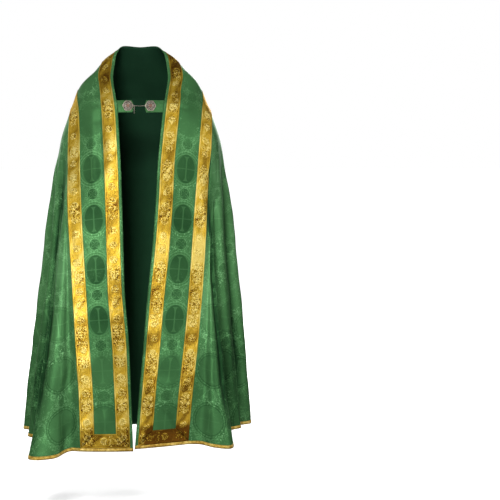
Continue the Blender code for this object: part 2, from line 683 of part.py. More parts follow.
def build_fringe(gold):
    """A narrow strip round the hood's sides and foot, with strands hanging from its outer wall."""
    half = hood_outline(24, 24, 8)
    other = [(Vector((-p.x, p.y)), Vector((-n.x, n.y))) for p, n in reversed(half[:-1])]
    outline = half + other
    lengths = outline_lengths(outline)
    places = [point for point, _ in outline]
    outwards = [outward for _, outward in outline]
    first, last = lengths[0] + FRINGE_LENGTH / 2, lengths[-1] - FRINGE_LENGTH / 2
    pitch = (last - first) / FRINGE_STRANDS
    inner, outer, polygons = [], [], []

    def layer(flat_point):
        """The strip's two faces over a flat point."""
        return [hood_point(flat_point.x, flat_point.y, lift) for lift in (0.0, -CLOTH)]

    def place_at(along):
        point = smooth_curve(lengths, places, along)
        outward = smooth_curve(lengths, outwards, along).normalized()
        return point, outward

    strands = []
    for i in range(FRINGE_STRANDS + 1):
        along = first + pitch * i
        point, outward = place_at(along)
        inner += layer(point + outward * FRINGE_GAP)
        if i == FRINGE_STRANDS:
            break
        for offset in (pitch / 2 - STRAND_WIDTH / 2, pitch / 2 + STRAND_WIDTH / 2):
            edge_point, edge_outward = place_at(along + offset)
            outer += layer(edge_point + edge_outward * (FRINGE_GAP + FRINGE_STRIP))
        middle, middle_outward = place_at(along + pitch / 2)
        hang = Vector((middle_outward.x * 0.5, 1.0)).normalized()
        root = middle + middle_outward * (FRINGE_GAP + FRINGE_STRIP)
        strands.append((root + hang * FRINGE_LENGTH, Vector((hang.y, -hang.x))))
    vertices = inner + outer
    base = len(inner)

    def inner_index(i, face):
        return 2 * i + face

    def outer_index(i, corner, face):
        return base + 4 * i + 2 * corner + face

    for i in range(FRINGE_STRANDS):
        a, b = inner_index(i, 0), inner_index(i + 1, 0)
        c, d = outer_index(i, 1, 0), outer_index(i, 0, 0)
        under = [inner_index(i, 1), inner_index(i + 1, 1), outer_index(i, 1, 1), outer_index(i, 0, 1)]
        polygons += [(d, c, b), (d, b, a)]
        polygons += [(under[1], under[2], under[3]), (under[0], under[1], under[3])]
        polygons.append((a, b, under[1], under[0]))
        tip_middle, tip_side = strands[i]
        tip = []
        for sign in (-1, 1):
            tip += layer(tip_middle + tip_side * (sign * STRAND_WIDTH * 0.35))
        roots = [outer_index(i, 0, 0), outer_index(i, 1, 0), outer_index(i, 1, 1), outer_index(i, 0, 1)]
        near = (tip[0] - vertices[roots[0]]).length + (tip[2] - vertices[roots[1]]).length
        crossed = (tip[2] - vertices[roots[0]]).length + (tip[0] - vertices[roots[1]]).length
        order = [0, 2, 3, 1] if near < crossed else [2, 0, 1, 3]
        tips = []
        for corner in order:
            tips.append(len(vertices))
            vertices.append(tip[corner])
        for j in range(4):
            polygons.append((roots[(j + 1) % 4], roots[j], tips[j], tips[(j + 1) % 4]))
        polygons.append(tuple(reversed(tips)))
        if i + 1 < FRINGE_STRANDS:
            e, f = outer_index(i + 1, 0, 0), outer_index(i + 1, 0, 1)
            polygons.append((c, e, b))
            polygons.append((outer_index(i, 1, 1), under[1], f))
            polygons.append((e, c, outer_index(i, 1, 1), f))
    first_outer = outer_index(0, 0, 0), outer_index(0, 0, 1)
    last_outer = outer_index(FRINGE_STRANDS - 1, 1, 0), outer_index(FRINGE_STRANDS - 1, 1, 1)
    end = FRINGE_STRANDS
    polygons.append((first_outer[0], inner_index(0, 0), inner_index(0, 1), first_outer[1]))
    polygons.append((inner_index(end, 0), last_outer[0], last_outer[1], inner_index(end, 1)))
    fringe = add_object("hood_fringe", vertices, polygons, gold)
    work = bmesh.new()
    work.from_mesh(fringe.data)
    if work.calc_volume(signed=True) < 0:
        bmesh.ops.reverse_faces(work, faces=work.faces)
    work.to_mesh(fringe.data)
    work.free()


# ---------------------------------------------------------------- the clasp
def edge_at_height(points, side, height):
    """The mantle's edge, on its own straight pieces, at a height on one side of the chest."""
    line = [points[strip_key(station, EDGE)] for station in range(LAST_STATION + 1)]
    line = [point for point in line if point.x * side > 0]
    line.sort(key=lambda point: point.z)
    for low, high in zip(line, line[1:]):
        if low.z <= height <= high.z:
            return low + (high - low) * ((height - low.z) / (high.z - low.z))
    return line[-1]


def build_tab(points, side, end_x, name, silk):
    heights = [TAB_TOP + (TAB_FOOT - TAB_TOP) * i / 4 for i in range(5)]
    sheet = {}
    root_gap = 2 * SEAM_GAP
    for i, height in enumerate(heights):
        root = edge_at_height(points, side, height) - Vector((side * root_gap, 0.0, 0.0))
        point_in = 0.004 * (1 - abs(i - 2) / 2)
        end = Vector((end_x - side * point_in, root.y - 0.004, height))
        for j in range(5):
            sheet[(i, j)] = root + (end - root) * (j / 4)
    faces = []
    for i in range(4):
        for j in range(4):
            faces += quad((i, j), (i, j + 1), (i + 1, j + 1), (i + 1, j))
    faces = facing(sheet, faces, Vector((0, -1, 0)))
    wall(name, sheet, faces, -TAB_THICKNESS, 0.0, silk)
    return sheet


def build_rosette(name, centre, metal):
    """A six-petalled boss, flat behind, facing -Y."""
    steps = 36
    rings = [(1.0, 0.0), (1.0, 0.35), (0.80, 0.72), (0.52, 0.62), (0.40, 0.55), (0.26, 1.0)]
    vertices, polygons = [], []
    for reach, rise in rings:
        for i in range(steps):
            turn = 2 * math.pi * i / steps
            petal = 1.0 - 0.13 * (0.5 - 0.5 * math.cos(6 * turn)) * min(reach * 1.6 - 0.6, 1.0)
            radius = ROSETTE_RADIUS * reach * (petal if reach > 0.45 else 1.0)
            vertices.append(centre + Vector((radius * math.cos(turn), -ROSETTE_DEPTH * rise,
                                             radius * math.sin(turn))))
    for ring in range(len(rings) - 1):
        for i in range(steps):
            a, b = ring * steps + i, ring * steps + (i + 1) % steps
            polygons.append((a, b, b + steps, a + steps))
    polygons.append(tuple(range((len(rings) - 1) * steps, len(rings) * steps)))
    polygons.append(tuple(reversed(range(steps))))
    add_object(name, vertices, polygons, metal)


def build_chain(path, metal):
    """A fine chain from end to end of a path, its links fused: a beaded tube."""
    lengths = [0.0]
    for a, b in zip(path, path[1:]):
        lengths.append(lengths[-1] + (b - a).length)
    links = round(lengths[-1] / CHAIN_PITCH)
    steps, sides = 2 * links, 6
    depth = Vector((0, -1, 0))
    vertices, polygons = [], []
    for i in range(steps + 1):
        along = lengths[-1] * i / steps
        point = smooth_curve(lengths, path, along)
        ahead = smooth_curve(lengths, path, min(along + 0.0005, lengths[-1]))
        behind = smooth_curve(lengths, path, max(along - 0.0005, 0.0))
        tangent = (ahead - behind).normalized()
        across = tangent.cross(depth).normalized()
        radius = CHAIN_RADIUS * (1.0 if i % 2 else 0.7)
        for j in range(sides):
            turn = 2 * math.pi * j / sides
            spoke = across * math.cos(turn) + across.cross(tangent) * math.sin(turn)
            vertices.append(point + spoke * radius)
    for i in range(steps):
        for j in range(sides):
            a, b = i * sides + j, i * sides + (j + 1) % sides
            polygons.append((a, a + sides, b + sides, b))
    polygons.append(tuple(range(sides)))
    polygons.append(tuple(reversed(range(steps * sides, (steps + 1) * sides))))
    add_object("clasp_chain", vertices, polygons, metal)


def build_clasp(points, silk, metal):
    middle = (TAB_TOP + TAB_FOOT) / 2 + 0.003
    ends = {"right": (-1, -0.0290), "left": (1, 0.0195)}
    seats = {}
    for name, (side, end_x) in ends.items():
        sheet = build_tab(points, side, end_x, "clasp_tab_" + name, silk)
        front = min(point.y for point in sheet.values()) - SEAM_GAP
        seats[name] = Vector((end_x + side * 0.0145, front, middle))
        build_rosette("clasp_rosette_" + name, seats[name], metal)
    reach = ROSETTE_RADIUS + CHAIN_RADIUS + SEAM_GAP
    lift = Vector((0, -CHAIN_RADIUS - SEAM_GAP, 0))
    right = seats["right"] + Vector((reach, 0, 0)) + lift
    left = seats["left"] - Vector((reach, 0, 0)) + lift
    hook = right + Vector((0.0022, 0, 0))
    sag = (hook + left) / 2 - Vector((0, 0, 0.0008))
    foot = hook - Vector((0.0004, 0, CHAIN_END_LENGTH))
    drop = hook - Vector((0, 0, 0.004))
    build_chain([foot, drop, hook + Vector((0.0010, 0, -0.0006)), sag, left], metal)


def main():
    for thing in list(bpy.data.objects):
        bpy.data.objects.remove(thing, do_unlink=True)
    silk = surface("green_damask", (0.055, 0.25, 0.085), 0.45, 0.0)
    gold = surface("gold_galloon", (0.72, 0.47, 0.06), 0.35, 0.8)
    bullion = surface("gold_bullion", (0.68, 0.45, 0.06), 0.4, 0.7)
    metal = surface("clasp_metal", (0.50, 0.42, 0.32), 0.35, 1.0)
    points = build_mantle(silk, gold)
    build_hood(silk, gold)
    build_fringe(bullion)
    build_clasp(points, silk, metal)


main()
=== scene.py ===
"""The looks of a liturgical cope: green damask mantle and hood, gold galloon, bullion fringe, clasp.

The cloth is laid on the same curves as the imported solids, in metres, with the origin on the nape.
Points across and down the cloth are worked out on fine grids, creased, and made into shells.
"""

import json
import math
import random
from functools import partialmethod

import bpy
import numpy as np
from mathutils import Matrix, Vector

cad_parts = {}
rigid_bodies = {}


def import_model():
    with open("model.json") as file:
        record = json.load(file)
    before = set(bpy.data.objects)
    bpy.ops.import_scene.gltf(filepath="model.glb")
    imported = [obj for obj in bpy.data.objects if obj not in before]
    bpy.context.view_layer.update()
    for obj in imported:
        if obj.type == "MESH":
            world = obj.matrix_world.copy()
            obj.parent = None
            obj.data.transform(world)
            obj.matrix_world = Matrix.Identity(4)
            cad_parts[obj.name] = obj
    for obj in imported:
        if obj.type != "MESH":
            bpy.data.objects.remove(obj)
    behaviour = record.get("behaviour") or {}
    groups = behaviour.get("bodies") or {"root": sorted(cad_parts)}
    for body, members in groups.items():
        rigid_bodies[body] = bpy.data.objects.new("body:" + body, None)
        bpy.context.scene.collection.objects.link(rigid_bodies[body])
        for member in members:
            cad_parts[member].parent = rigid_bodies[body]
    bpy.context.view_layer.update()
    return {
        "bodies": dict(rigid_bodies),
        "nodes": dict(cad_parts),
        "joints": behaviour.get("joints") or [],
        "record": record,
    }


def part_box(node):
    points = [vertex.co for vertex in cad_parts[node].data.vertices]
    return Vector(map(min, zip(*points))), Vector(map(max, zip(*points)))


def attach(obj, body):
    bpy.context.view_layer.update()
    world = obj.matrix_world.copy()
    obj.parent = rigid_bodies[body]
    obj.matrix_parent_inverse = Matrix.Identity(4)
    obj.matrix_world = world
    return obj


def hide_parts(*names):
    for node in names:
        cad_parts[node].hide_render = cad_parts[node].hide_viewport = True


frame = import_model()

# ---------------------------------------------------------------- sizes, metres
NECK_AXIS = np.array([0.0, -0.125, 0.0])     # the curves are measured from here
CLOTH = 0.002
BAND_GAP = 0.0005            # between the cloth and what is sewn on it
SEAM_GAP = 0.0003
EDGE_MARGIN = 0.010
BRAID_FALL = 0.0104          # shares of a fall line, as on the solids
FOOT_FALL = 0.0418

HOOD_HALF_WIDTH = 0.228
HOOD_LENGTH = 0.475
HOOD_CORNER = np.array([0.155, 0.205])       # the half ellipse that rounds its foot: width, height
HOOD_STAND_OFF = 0.0065
HOOD_SEAM_STAND_OFF = 0.0032
HOOD_SETTLES = 0.04          # this far below its seam
HOOD_DROP = 0.975
FRINGE_GAP = 0.0018
FRINGE_STRIP = 0.004
FRINGE_LENGTH = 0.042
BULLION_PITCH = 0.00235

TAB_TOP = -0.061
TAB_FOOT = -0.102
TAB_THICKNESS = 0.0024
ROSETTE_RADIUS = 0.0185
CHAIN_END_LENGTH = 0.029

# Places across a galloon band, and how high its top stands there: corded edges, then the flat.
BAND_PLACES = np.array([0.0, 1.6, 4.2, 13.0, 24.0, 35.0, 43.8, 46.4, 48.0]) / 1000
BAND_TOPS = np.array([0.9, 1.6, 1.2, 1.3, 1.3, 1.3, 1.2, 1.6, 0.9]) / 1000
BAND_WIDTH = BAND_PLACES[-1]
BAND_CELLS = len(BAND_PLACES) - 1
BRAID_WIDTH = 0.0125
BRAID_TOPS = np.array([1.1, 1.6, 1.0]) / 1000

# ---------------------------------------------------------------- the cope's curves, millimetres
# The yoke's ribs on the wearer's left, mirrored on the right: the distance along the straight edge,
# then x, y, z of the edge, of the crest, and of the outer side of the inner band.
RIBS = np.array([
    (0, 0, 85, 130, 0, 110, 45, 0, 146, -53),
    (75, 63, 62, 131, 82, 92, 52, 78, 138, -52),
    (140, 84, 4, 102, 137, 42, 62, 145, 108, -53),
    (190, 91, -35, 62, 166, 10, 38, 190, 70, -59),
    (240, 95, -68, 20, 188, -18, 14, 222, 30, -64),
    (300, 88, -104, -30, 180, -60, -26, 242, -14, -88),
    (360, 79, -132, -80, 172, -103, -84, 248, -62, -116),
]) / 1000
RIB_ALONG = RIBS[:, 0]
RIB_LINES = {"edge": RIBS[:, 1:4], "crest": RIBS[:, 4:7], "outer": RIBS[:, 7:]}
CORNER_ALONG = RIB_ALONG[-1]
RIGHT, LEFT = -1, 1          # the wearer's sides, by the sign of x

# Both fronts by height: z, y of the straight edges, then on the right and on the left x of the edge,
# and x, y of the inner band's outer side.
FRONTS = np.array([
    (-270, -160, -69.0, -253, -112, 58.5, 242, -112),
    (-400, -178, -65.0, -251, -146, 50.7, 232, -143),
    (-570, -197, -61.0, -244, -181, 37.2, 220, -180),
    (-730, -213, -56.0, -235, -210, 20.0, 208, -208),
    (-880, -226, -44.0, -226, -234, 7.0, 193, -232),
    (-1050, -238, -37.0, -215, -255, -9.0, 173, -254),
    (-1250, -250, -31.0, -209, -272, -25.5, 155, -268),
]) / 1000
FRONT_LINES = {RIGHT: {"edge": FRONTS[:, [2, 1]], "outer": FRONTS[:, 3:5]},
               LEFT: {"edge": FRONTS[:, [5, 1]], "outer": FRONTS[:, 6:]}}
EDGE_HEM = {RIGHT: -1.256, LEFT: -1.249}
FRONT_SWELL = 0.006

# Crests and valleys from the wearer's right front, round the back, to the left: where each leaves
# the yoke, its plan place (x, y) at the waist and at the hem, and its height at the hem.
FOLDS = [
    ("right_band", -360, -241, -191, -209, -272, -1250),
    ("right_gutter", -353, -254, -184, -248, -262, -1252),
    ("right_front_inner", -345, -267, -187, -299, -300, -1268),
    ("right_front_outer", -336, -292, -165, -384, -286, -1270),
    ("right_front_valley", -326, -290, -116, -352, -150, -1235),
    ("right_arm", -316, -317, -85, -400, -100, -1226),
    ("right_arm_valley", -306, -310, -36, -366, -28, -1222),
    ("right_side", -296, -342, 5, -420, 24, -1222),
    ("right_side_valley", -284, -306, 47, -348, 72, -1210),
    ("right_rear", -272, -318, 92, -378, 136, -1216),
    ("right_rear_valley", -258, -264, 112, -284, 132, -1226),
    ("back_right", -245, -272, 160, -272, 232, -1236),
    ("back_right_middle", -170, -190, 200, -185, 268, -1250),
    ("back_right_inner", -100, -110, 212, -98, 260, -1255),
    ("back_centre_right", -24, -30, 217, -18, 276, -1257),
    ("back_centre_left", 24, 30, 217, 40, 280, -1256),
    ("back_left_inner", 100, 110, 212, 125, 262, -1250),
    ("back_left_middle", 170, 192, 198, 215, 270, -1243),
    ("back_left", 245, 280, 152, 312, 226, -1232),
    ("left_rear_valley", 258, 268, 106, 302, 122, -1204),
    ("left_rear", 272, 318, 86, 382, 112, -1188),
    ("left_side_valley", 284, 304, 44, 337, 50, -1196),
    ("left_side", 296, 332, 3, 386, -8, -1206),
    ("left_arm_valley", 306, 294, -45, 330, -52, -1208),
    ("left_arm", 316, 290, -93, 348, -104, -1206),
    ("left_front_valley", 326, 254, -124, 300, -136, -1216),
    ("left_front_outer", 336, 252, -163, 308, -272, -1243),
    ("left_front_inner", 345, 238, -184, 251, -288, -1240),
    ("left_gutter", 353, 229, -182, 200, -266, -1232),
    ("left_band", 360, 216.5, -189, 155, -268, -1230),
]
FOLD_NAMES = [fold[0] for fold in FOLDS]
FOLD_ROWS = np.arange(len(FOLDS))
TOPS, WAIST, HEM, HEM_Z = np.split(np.array([fold[1:] for fold in FOLDS]) / 1000, [1, 3, 5], axis=1)
END_FOLD = {RIGHT: 0, LEFT: -1}
WAIST_FALL = 0.46
GROWTH = 0.65
FOLD_START, FOLD_FULL = 0.04, 0.42
BASE_PASSES = 6
ARM_SWELL = 0.055            # the share that the arms push the sides out by, where on the fall
ARM_RISE, ARM_FADE = (0.0, 0.12), (0.14, 0.48)
CORRECTION_ROWS = 4          # over which the skirt meets the fronts' own lines


# ---------------------------------------------------------------- curves, on whole arrays
def smooth_curve(knots, values, at):
    """A curve through values at rising knots, with slopes taken from the neighbours."""
    knots, values, at = (np.asarray(item, float) for item in (knots, values, at))
    steps = np.diff(knots)
    rises = np.diff(values, axis=0) / steps[:, None]
    slopes = np.empty_like(values)
    slopes[0], slopes[-1] = rises[0], rises[-1]
    before, after = steps[:-1, None], steps[1:, None]
    slopes[1:-1] = (rises[:-1] * after + rises[1:] * before) / (before + after)
    i = np.clip(np.searchsorted(knots, at) - 1, 0, len(steps) - 1)
    width = steps[i][..., None]
    t = (at - knots[i])[..., None] / width
    start = values[i] * (2 * t**3 - 3 * t**2 + 1) + slopes[i] * width * (t**3 - 2 * t**2 + t)
    end = values[i + 1] * (3 * t**2 - 2 * t**3) + slopes[i + 1] * width * (t**3 - t**2)
    return start + end


def through_three(start, middle, end, middle_at, t):
    """The parabola from start at 0, through middle at middle_at, to end at 1."""
    a = (t - middle_at) * (t - 1.0) / middle_at
    b = t * (1.0 - t) / (middle_at * (1.0 - middle_at))
    c = t * (t - middle_at) / (1.0 - middle_at)
    return start * a + middle * b + end * c


def ease(low, high, value):
    t = np.clip((np.asarray(value, float) - low) / (high - low), 0.0, 1.0)
    return t * t * (3.0 - 2.0 * t)


def averaged(points, passes):
    """The same open line with its wiggles averaged away and its ends kept."""
    for _ in range(passes):
        inner = points[:-2] * 0.25 + points[1:-1] * 0.5 + points[2:] * 0.25
        points = np.vstack([points[:1], inner, points[-1:]])
    return points


def unit(vectors):
    return vectors / np.maximum(np.linalg.norm(vectors, axis=-1, keepdims=True), 1e-12)


def run_length(points):
    """Distance run along a line of points, from 0 at its first."""
    return np.append(0.0, np.cumsum(np.linalg.norm(np.diff(points, axis=0), axis=-1)))


def wheel(count):
    """Evenly spaced turns round a circle."""
    return np.arange(count) * (2 * math.pi / count)


def yoke_line(which, along):
    """The yoke's edge, crest or outer line at distances along the straight edge."""
    knots = np.concatenate([-RIB_ALONG[:0:-1], RIB_ALONG])
    left = RIB_LINES[which]
    return smooth_curve(knots, np.vstack([left[:0:-1] * [-1.0, 1.0, 1.0], left]), along)


def front_lines(side, fall):
    """The straight edge and the inner band's outer line at shares of the fall."""
    lines = []
    for which, hem in (("edge", EDGE_HEM[side]), ("outer", HEM_Z[END_FOLD[side], 0])):
        top = yoke_line(which, side * CORNER_ALONG)
        z = top[2] + (hem - top[2]) * fall
        knots = np.append(-top[2], -FRONTS[:, 0])
        xy = smooth_curve(knots, np.vstack([top[:2], FRONT_LINES[side][which]]), -z)
        lines.append(np.column_stack([xy, z]))
    return lines


def front_ribs(side, fall):
    edge, outer = front_lines(side, fall)
    tops = {which: yoke_line(which, side * CORNER_ALONG) for which in RIB_LINES}
    fade = ((1.0 - fall) ** 4)[:, None]
    swell = (tops["crest"] - (tops["edge"] + tops["outer"]) / 2) * fade
    swell = swell + np.array([0.0, -FRONT_SWELL, 0.0]) * (1.0 - fade)
    return edge, (edge + outer) / 2 + swell, outer


BASE_WAIST, BASE_HEM = averaged(WAIST, BASE_PASSES), averaged(HEM, BASE_PASSES)
WAIST_GROWTH = WAIST_FALL**GROWTH


def skirt_points(rows, falls):
    """Points of the skirt, one line for each fold row and one place on it for each fall.
    falls is one list for all rows, or has a line for each row."""
    rows = np.asarray(rows, float)
    falls = np.broadcast_to(falls, (len(rows), np.shape(falls)[-1]))
    top = yoke_line("outer", np.interp(rows, FOLD_ROWS, TOPS[:, 0]))[:, None]
    growth = (falls**GROWTH)[..., None]
    waist, hem, full_waist, full_hem = (smooth_curve(FOLD_ROWS, line, rows)[:, None]
                                        for line in (BASE_WAIST, BASE_HEM, WAIST, HEM))
    plan = through_three(top[..., :2], waist, hem, WAIST_GROWTH, growth)
    fold = through_three(0.0, full_waist - waist, full_hem - hem, WAIST_GROWTH, growth)
    plan = plan + fold * ease(FOLD_START, FOLD_FULL, falls)[..., None]
    height = top[..., 2] + (smooth_curve(FOLD_ROWS, HEM_Z, rows) - top[..., 2]) * falls
    arms = ARM_SWELL * ease(*ARM_RISE, falls) * (1.0 - ease(*ARM_FADE, falls))
    from_front = {RIGHT: rows, LEFT: FOLD_ROWS[-1] - rows}
    nearer = np.minimum(from_front[RIGHT], from_front[LEFT])
    plan[..., 0] *= 1.0 + arms * ease(0, CORRECTION_ROWS, nearer)[:, None]
    for side, end in END_FOLD.items():
        share = np.clip(1.0 - from_front[side] / CORRECTION_ROWS, 0.0, 1.0) ** 2
        end_top = yoke_line("outer", TOPS[end, 0])[:2]
        plain = through_three(end_top, WAIST[end], HEM[end], WAIST_GROWTH, growth)
        wanted = front_lines(side, falls[0])[1][:, :2]
        plan += (wanted - plain) * share[:, None, None]
    return np.concatenate([plan, height[..., None]], axis=-1)


# ---------------------------------------------------------------- meshes from grids
CELL_CORNERS = [np.s_[:-1, :-1], np.s_[1:, :-1], np.s_[1:, 1:], np.s_[:-1, 1:]]


def grid_cells(numbers, coords=None, kept=None):
    """The faces of a grid of point numbers, and the cloth coordinates at their corners.
    Corners that coincide are counted once, and those that aren't kept are left out."""
    coords = np.zeros((*numbers.shape, 2)) if coords is None else coords
    kept = np.ones(numbers.shape) if kept is None else kept
    cells = [np.stack([grid[corner] for corner in CELL_CORNERS], axis=2) for grid in (numbers, coords, kept)]
    faces, places = [], []
    for face, place, keep in zip(*(cell.reshape(-1, *cell.shape[2:]).tolist() for cell in cells)):
        used = [n for n in range(4) if keep[n] and face[n] != face[n - 1]]
        if len(used) > 2:
            faces.append([face[n] for n in used])
            places.append([place[n] for n in used])
    return faces, places


class Sheet:
    """A surface of four-sided and three-sided faces, with cloth coordinates at each corner."""

    def __init__(self):
        self.points, self.faces, self.coords = np.empty((0, 3)), [], []

    def add_points(self, points):
        """Adds an array of points and returns the grid of their numbers."""
        start = len(self.points)
        self.points = np.vstack([self.points, points.reshape(-1, 3)])
        return np.arange(start, len(self.points)).reshape(points.shape[:-1])

    def add_grid(self, numbers, coords=None):
        faces, places = grid_cells(numbers, coords)
        self.faces += faces
        self.coords += places

    def find_normals(self):
        """Gives each point the sum of its faces' normals, weighted by area."""
        sums = np.zeros_like(self.points)
        for count in (3, 4):
            group = np.array([face for face in self.faces if len(face) == count])
            if len(group):
                a, b, c, d = (self.points[group[:, i]] for i in (0, 1, 2, count - 1))
                across = np.cross(c - a, d - b) if count == 4 else np.cross(b - a, c - a)
                for i in range(count):
                    np.add.at(sums, group[:, i], across)
        self.normals = unit(sums)

    def raise_by(self, relief):
        """Moves the points along their normals, and finds the new normals."""
        self.points += self.normals * relief[:, None]
        self.find_normals()


def add_mesh(name, points, faces, coords=None, material_of=None):
    """A mesh piece in the frame's place, from points round the neck's axis."""
    mesh = bpy.data.meshes.new(name + "_fine")
    mesh.from_pydata((np.asarray(points, float) + NECK_AXIS).tolist(), [], faces)
    if coords is not None:
        layer = mesh.uv_layers.new(name="cloth")
        layer.data.foreach_set("uv", np.concatenate([np.ravel(place) for place in coords]))
    if material_of is not None:
        mesh.polygons.foreach_set("material_index", material_of)
    mesh.validate()
    mesh.shade_smooth()
    piece = bpy.data.objects.new(name + "_fine", mesh)
    bpy.context.scene.collection.objects.link(piece)
    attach(piece, "root")
    return piece


def finish_piece(piece, slot, materials, *nodes):
    """Gives a piece its materials and lets it stand for its CAD nodes; slot is not used."""
    for material in materials:
        piece.data.materials.append(material)
    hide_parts(*nodes)
    return piece


def place_of(faces, coords):
    """The cloth coordinates of each point number."""
    return {i: uv for face, uvs in zip(faces, coords) for i, uv in zip(face, uvs)}


def thin_wall(name, sheet, low, high, faces, coords):
    """A closed wall over faces of a sheet, from low to each point's own height along its normal."""
    used, outer = np.unique(np.concatenate(faces), return_inverse=True)
    outer = [part.tolist() for part in np.split(outer, np.cumsum([len(face) for face in faces])[:-1])]
    top, under = (sheet.points[used] + sheet.normals[used] * height
                  for height in (high[used, None], low))
    count = len(used)
    inner = [[i + count for i in reversed(face)] for face in outer]
    place = place_of(outer, coords)
    edges = {edge: None for face in outer for edge in zip(face, face[1:] + face[:1])}
    border = sorted((a, b) for a, b in edges if (b, a) not in edges)
    rims = [[b, a, a + count, b + count] for a, b in border]
    rim_coords = [[place[b], place[a], place[a], place[b]] for a, b in border]
    coords = coords + [uvs[::-1] for uvs in coords] + rim_coords
    return add_mesh(name, np.vstack([top, under]), outer + inner + rims, coords)


def lay_trim(name, look, sheet, numbers, across, along, tops, kept=None, base=BAND_GAP, node=None):
    """A wall laid on part of a sheet, up to tops. look is its slot, which is not used, and its
    material; across and along are its cloth coordinates."""
    coords = np.stack(np.broadcast_arrays(across, along), axis=-1)
    high = np.zeros(len(sheet.points))
    high[numbers] = tops
    piece = thin_wall(name, sheet, base, high, *grid_cells(numbers, coords, kept))
    return finish_piece(piece, look[0], [look[1]], node or name)


def sunk_under(relief, grids):
    """How far each point stands above the lowest of its neighbours."""
    lowest = relief.copy()
    for grid in grids:
        wide = np.pad(relief[grid], 1, mode="edge")
        rows, columns = grid.shape
        around = [wide[i : i + rows, j : j + columns] for i in range(3) for j in range(3)]
        np.minimum.at(lowest, grid, np.min(around, axis=0))
    return relief - lowest


def lined_shell(name, sheet, grids, loop, sag, materials):
    """A closed shell: the sheet outside, and a lining of twice its step inside, its points moved
    by sag. grids are its grids of point numbers, and loop its border in order."""
    kept = sorted({int(i) for grid in grids for i in grid[::2, ::2].ravel()})
    positions = np.vstack([sheet.points, sheet.points[kept] - sag[kept]])
    number = {i: n + len(sheet.points) for n, i in enumerate(kept)}
    faces, coords = list(sheet.faces), list(sheet.coords)
    for grid in grids:
        coarse = np.vectorize(number.get)(grid[::2, ::-2])
        inner_faces, inner_coords = grid_cells(coarse, positions[coarse][..., [0, 2]])
        faces += inner_faces
        coords += inner_coords
    material_of = [0] * len(sheet.faces) + [1] * (len(faces) - len(sheet.faces))
    place = place_of(sheet.faces, sheet.coords)
    loop = loop + loop[:1]
    for a, b, c in zip(loop[0:-2:2], loop[1:-1:2], loop[2::2]):
        faces.append([c, b, a, number[a], number[c]])
        coords.append([place[c], place[b], place[a], place[a], place[c]])
        material_of.append(0)
    shell = add_mesh(name, positions, faces, coords, material_of)
    return finish_piece(shell, "damask", materials, name)


# ---------------------------------------------------------------- the mantle's grids
FRONT_CELLS = 112            # down the front, to the foot bands
GAP_CELLS = 12               # between the two bands
HEM_STEP = 0.0080            # longest step along the hem
YOKE_STEP = 0.0030
FOOT_START = 1.0 - BRAID_FALL - FOOT_FALL
CORNER_REACH = 26            # stations either side of the front corners that are eased
CORNER_PASSES = 90
FALL_POWER = 1.15            # closer rows near the yoke, where the cloth turns over

FALLS = np.concatenate([
    FOOT_START * (np.arange(FRONT_CELLS) / FRONT_CELLS) ** FALL_POWER,
    FOOT_START + FOOT_FALL * BAND_PLACES / BAND_WIDTH,
    [1.0 - BRAID_FALL / 2, 1.0],
])
LAST_FALL = len(FALLS) - 1
BRAID_ROW = LAST_FALL - 2
FOOT_ROW = BRAID_ROW - BAND_CELLS

# Columns of the strip along the straight edge: a margin, a band, the gap, a band.
BAND_1 = 2
GAP_START = BAND_1 + BAND_CELLS
GAP_MIDDLE = GAP_START + GAP_CELLS // 2
BAND_2 = GAP_START + GAP_CELLS
STRIP_LAST = BAND_2 + BAND_CELLS
RIB_PLACES = 33              # on the curve that they are measured along


def column_rows():
    """Fractional fold rows of the skirt's columns, an even number between each two folds."""
    rows = [0.0]
    for i in range(len(FOLDS) - 1):
        if FOLD_NAMES[i] == "back_centre_right":
            rows += (i + BAND_PLACES[1:] / BAND_WIDTH).tolist()
            continue
        hem_step = np.linalg.norm(HEM[i + 1] - HEM[i]) / HEM_STEP
        yoke_step = (TOPS[i + 1, 0] - TOPS[i, 0]) / YOKE_STEP
        steps = 2 * math.ceil(max(hem_step, yoke_step, 4) / 2)
        rows += [i + (step + 1) / steps for step in range(steps)]
    return np.array(rows)


def column_at(row):
    return int(np.argmin(np.abs(COLUMNS - row)))


COLUMNS = column_rows()
LAST_COLUMN = len(COLUMNS) - 1
YOKE_START = LAST_FALL       # stations of the strip: right hem, right corner, left corner, left hem
YOKE_END = YOKE_START + LAST_COLUMN
STATIONS = np.arange(YOKE_END + LAST_FALL + 1)


def strip_grid():
    """The strip's points, station by station from the right hem over the neck to the left hem,
    and each one's distance from the edge: the bands keep their width."""
    along = np.interp(COLUMNS, FOLD_ROWS, TOPS[:, 0])
    right = front_ribs(RIGHT, FALLS[:0:-1])
    yoke = [yoke_line(which, along) for which in RIB_LINES]
    left = front_ribs(LEFT, FALLS[1:])
    shares = np.linspace(0.0, 1.0, RIB_PLACES)[:, None]
    points, places = [], []
    for edge, crest, outer in zip(*[np.vstack(lines) for lines in zip(right, yoke, left)]):
        path = through_three(edge, crest, outer, 0.5, shares)
        run = run_length(path)
        band_1, band_2 = EDGE_MARGIN + BAND_PLACES, run[-1] - BAND_WIDTH + BAND_PLACES
        gap = np.linspace(band_1[-1], band_2[0], GAP_CELLS + 1)[1:-1]
        places.append(np.concatenate([[0.0, EDGE_MARGIN / 2], band_1, gap, band_2]))
        points.append(smooth_curve(run, path, places[-1]))
    return softened(np.array(points)), np.array(places)


def softened(points):
    """The strip with its turn from yoke to front eased, by averaging along the straight edge."""
    near = np.minimum(np.abs(STATIONS - YOKE_START), np.abs(STATIONS - YOKE_END))
    share = (1.0 - ease(CORNER_REACH * 0.4, CORNER_REACH, near))[1:-1, None, None]
    for _ in range(CORNER_PASSES):
        middle = (points[:-2] + points[2:]) / 2
        points[1:-1] += (middle - points[1:-1]) * 0.5 * share
    return points


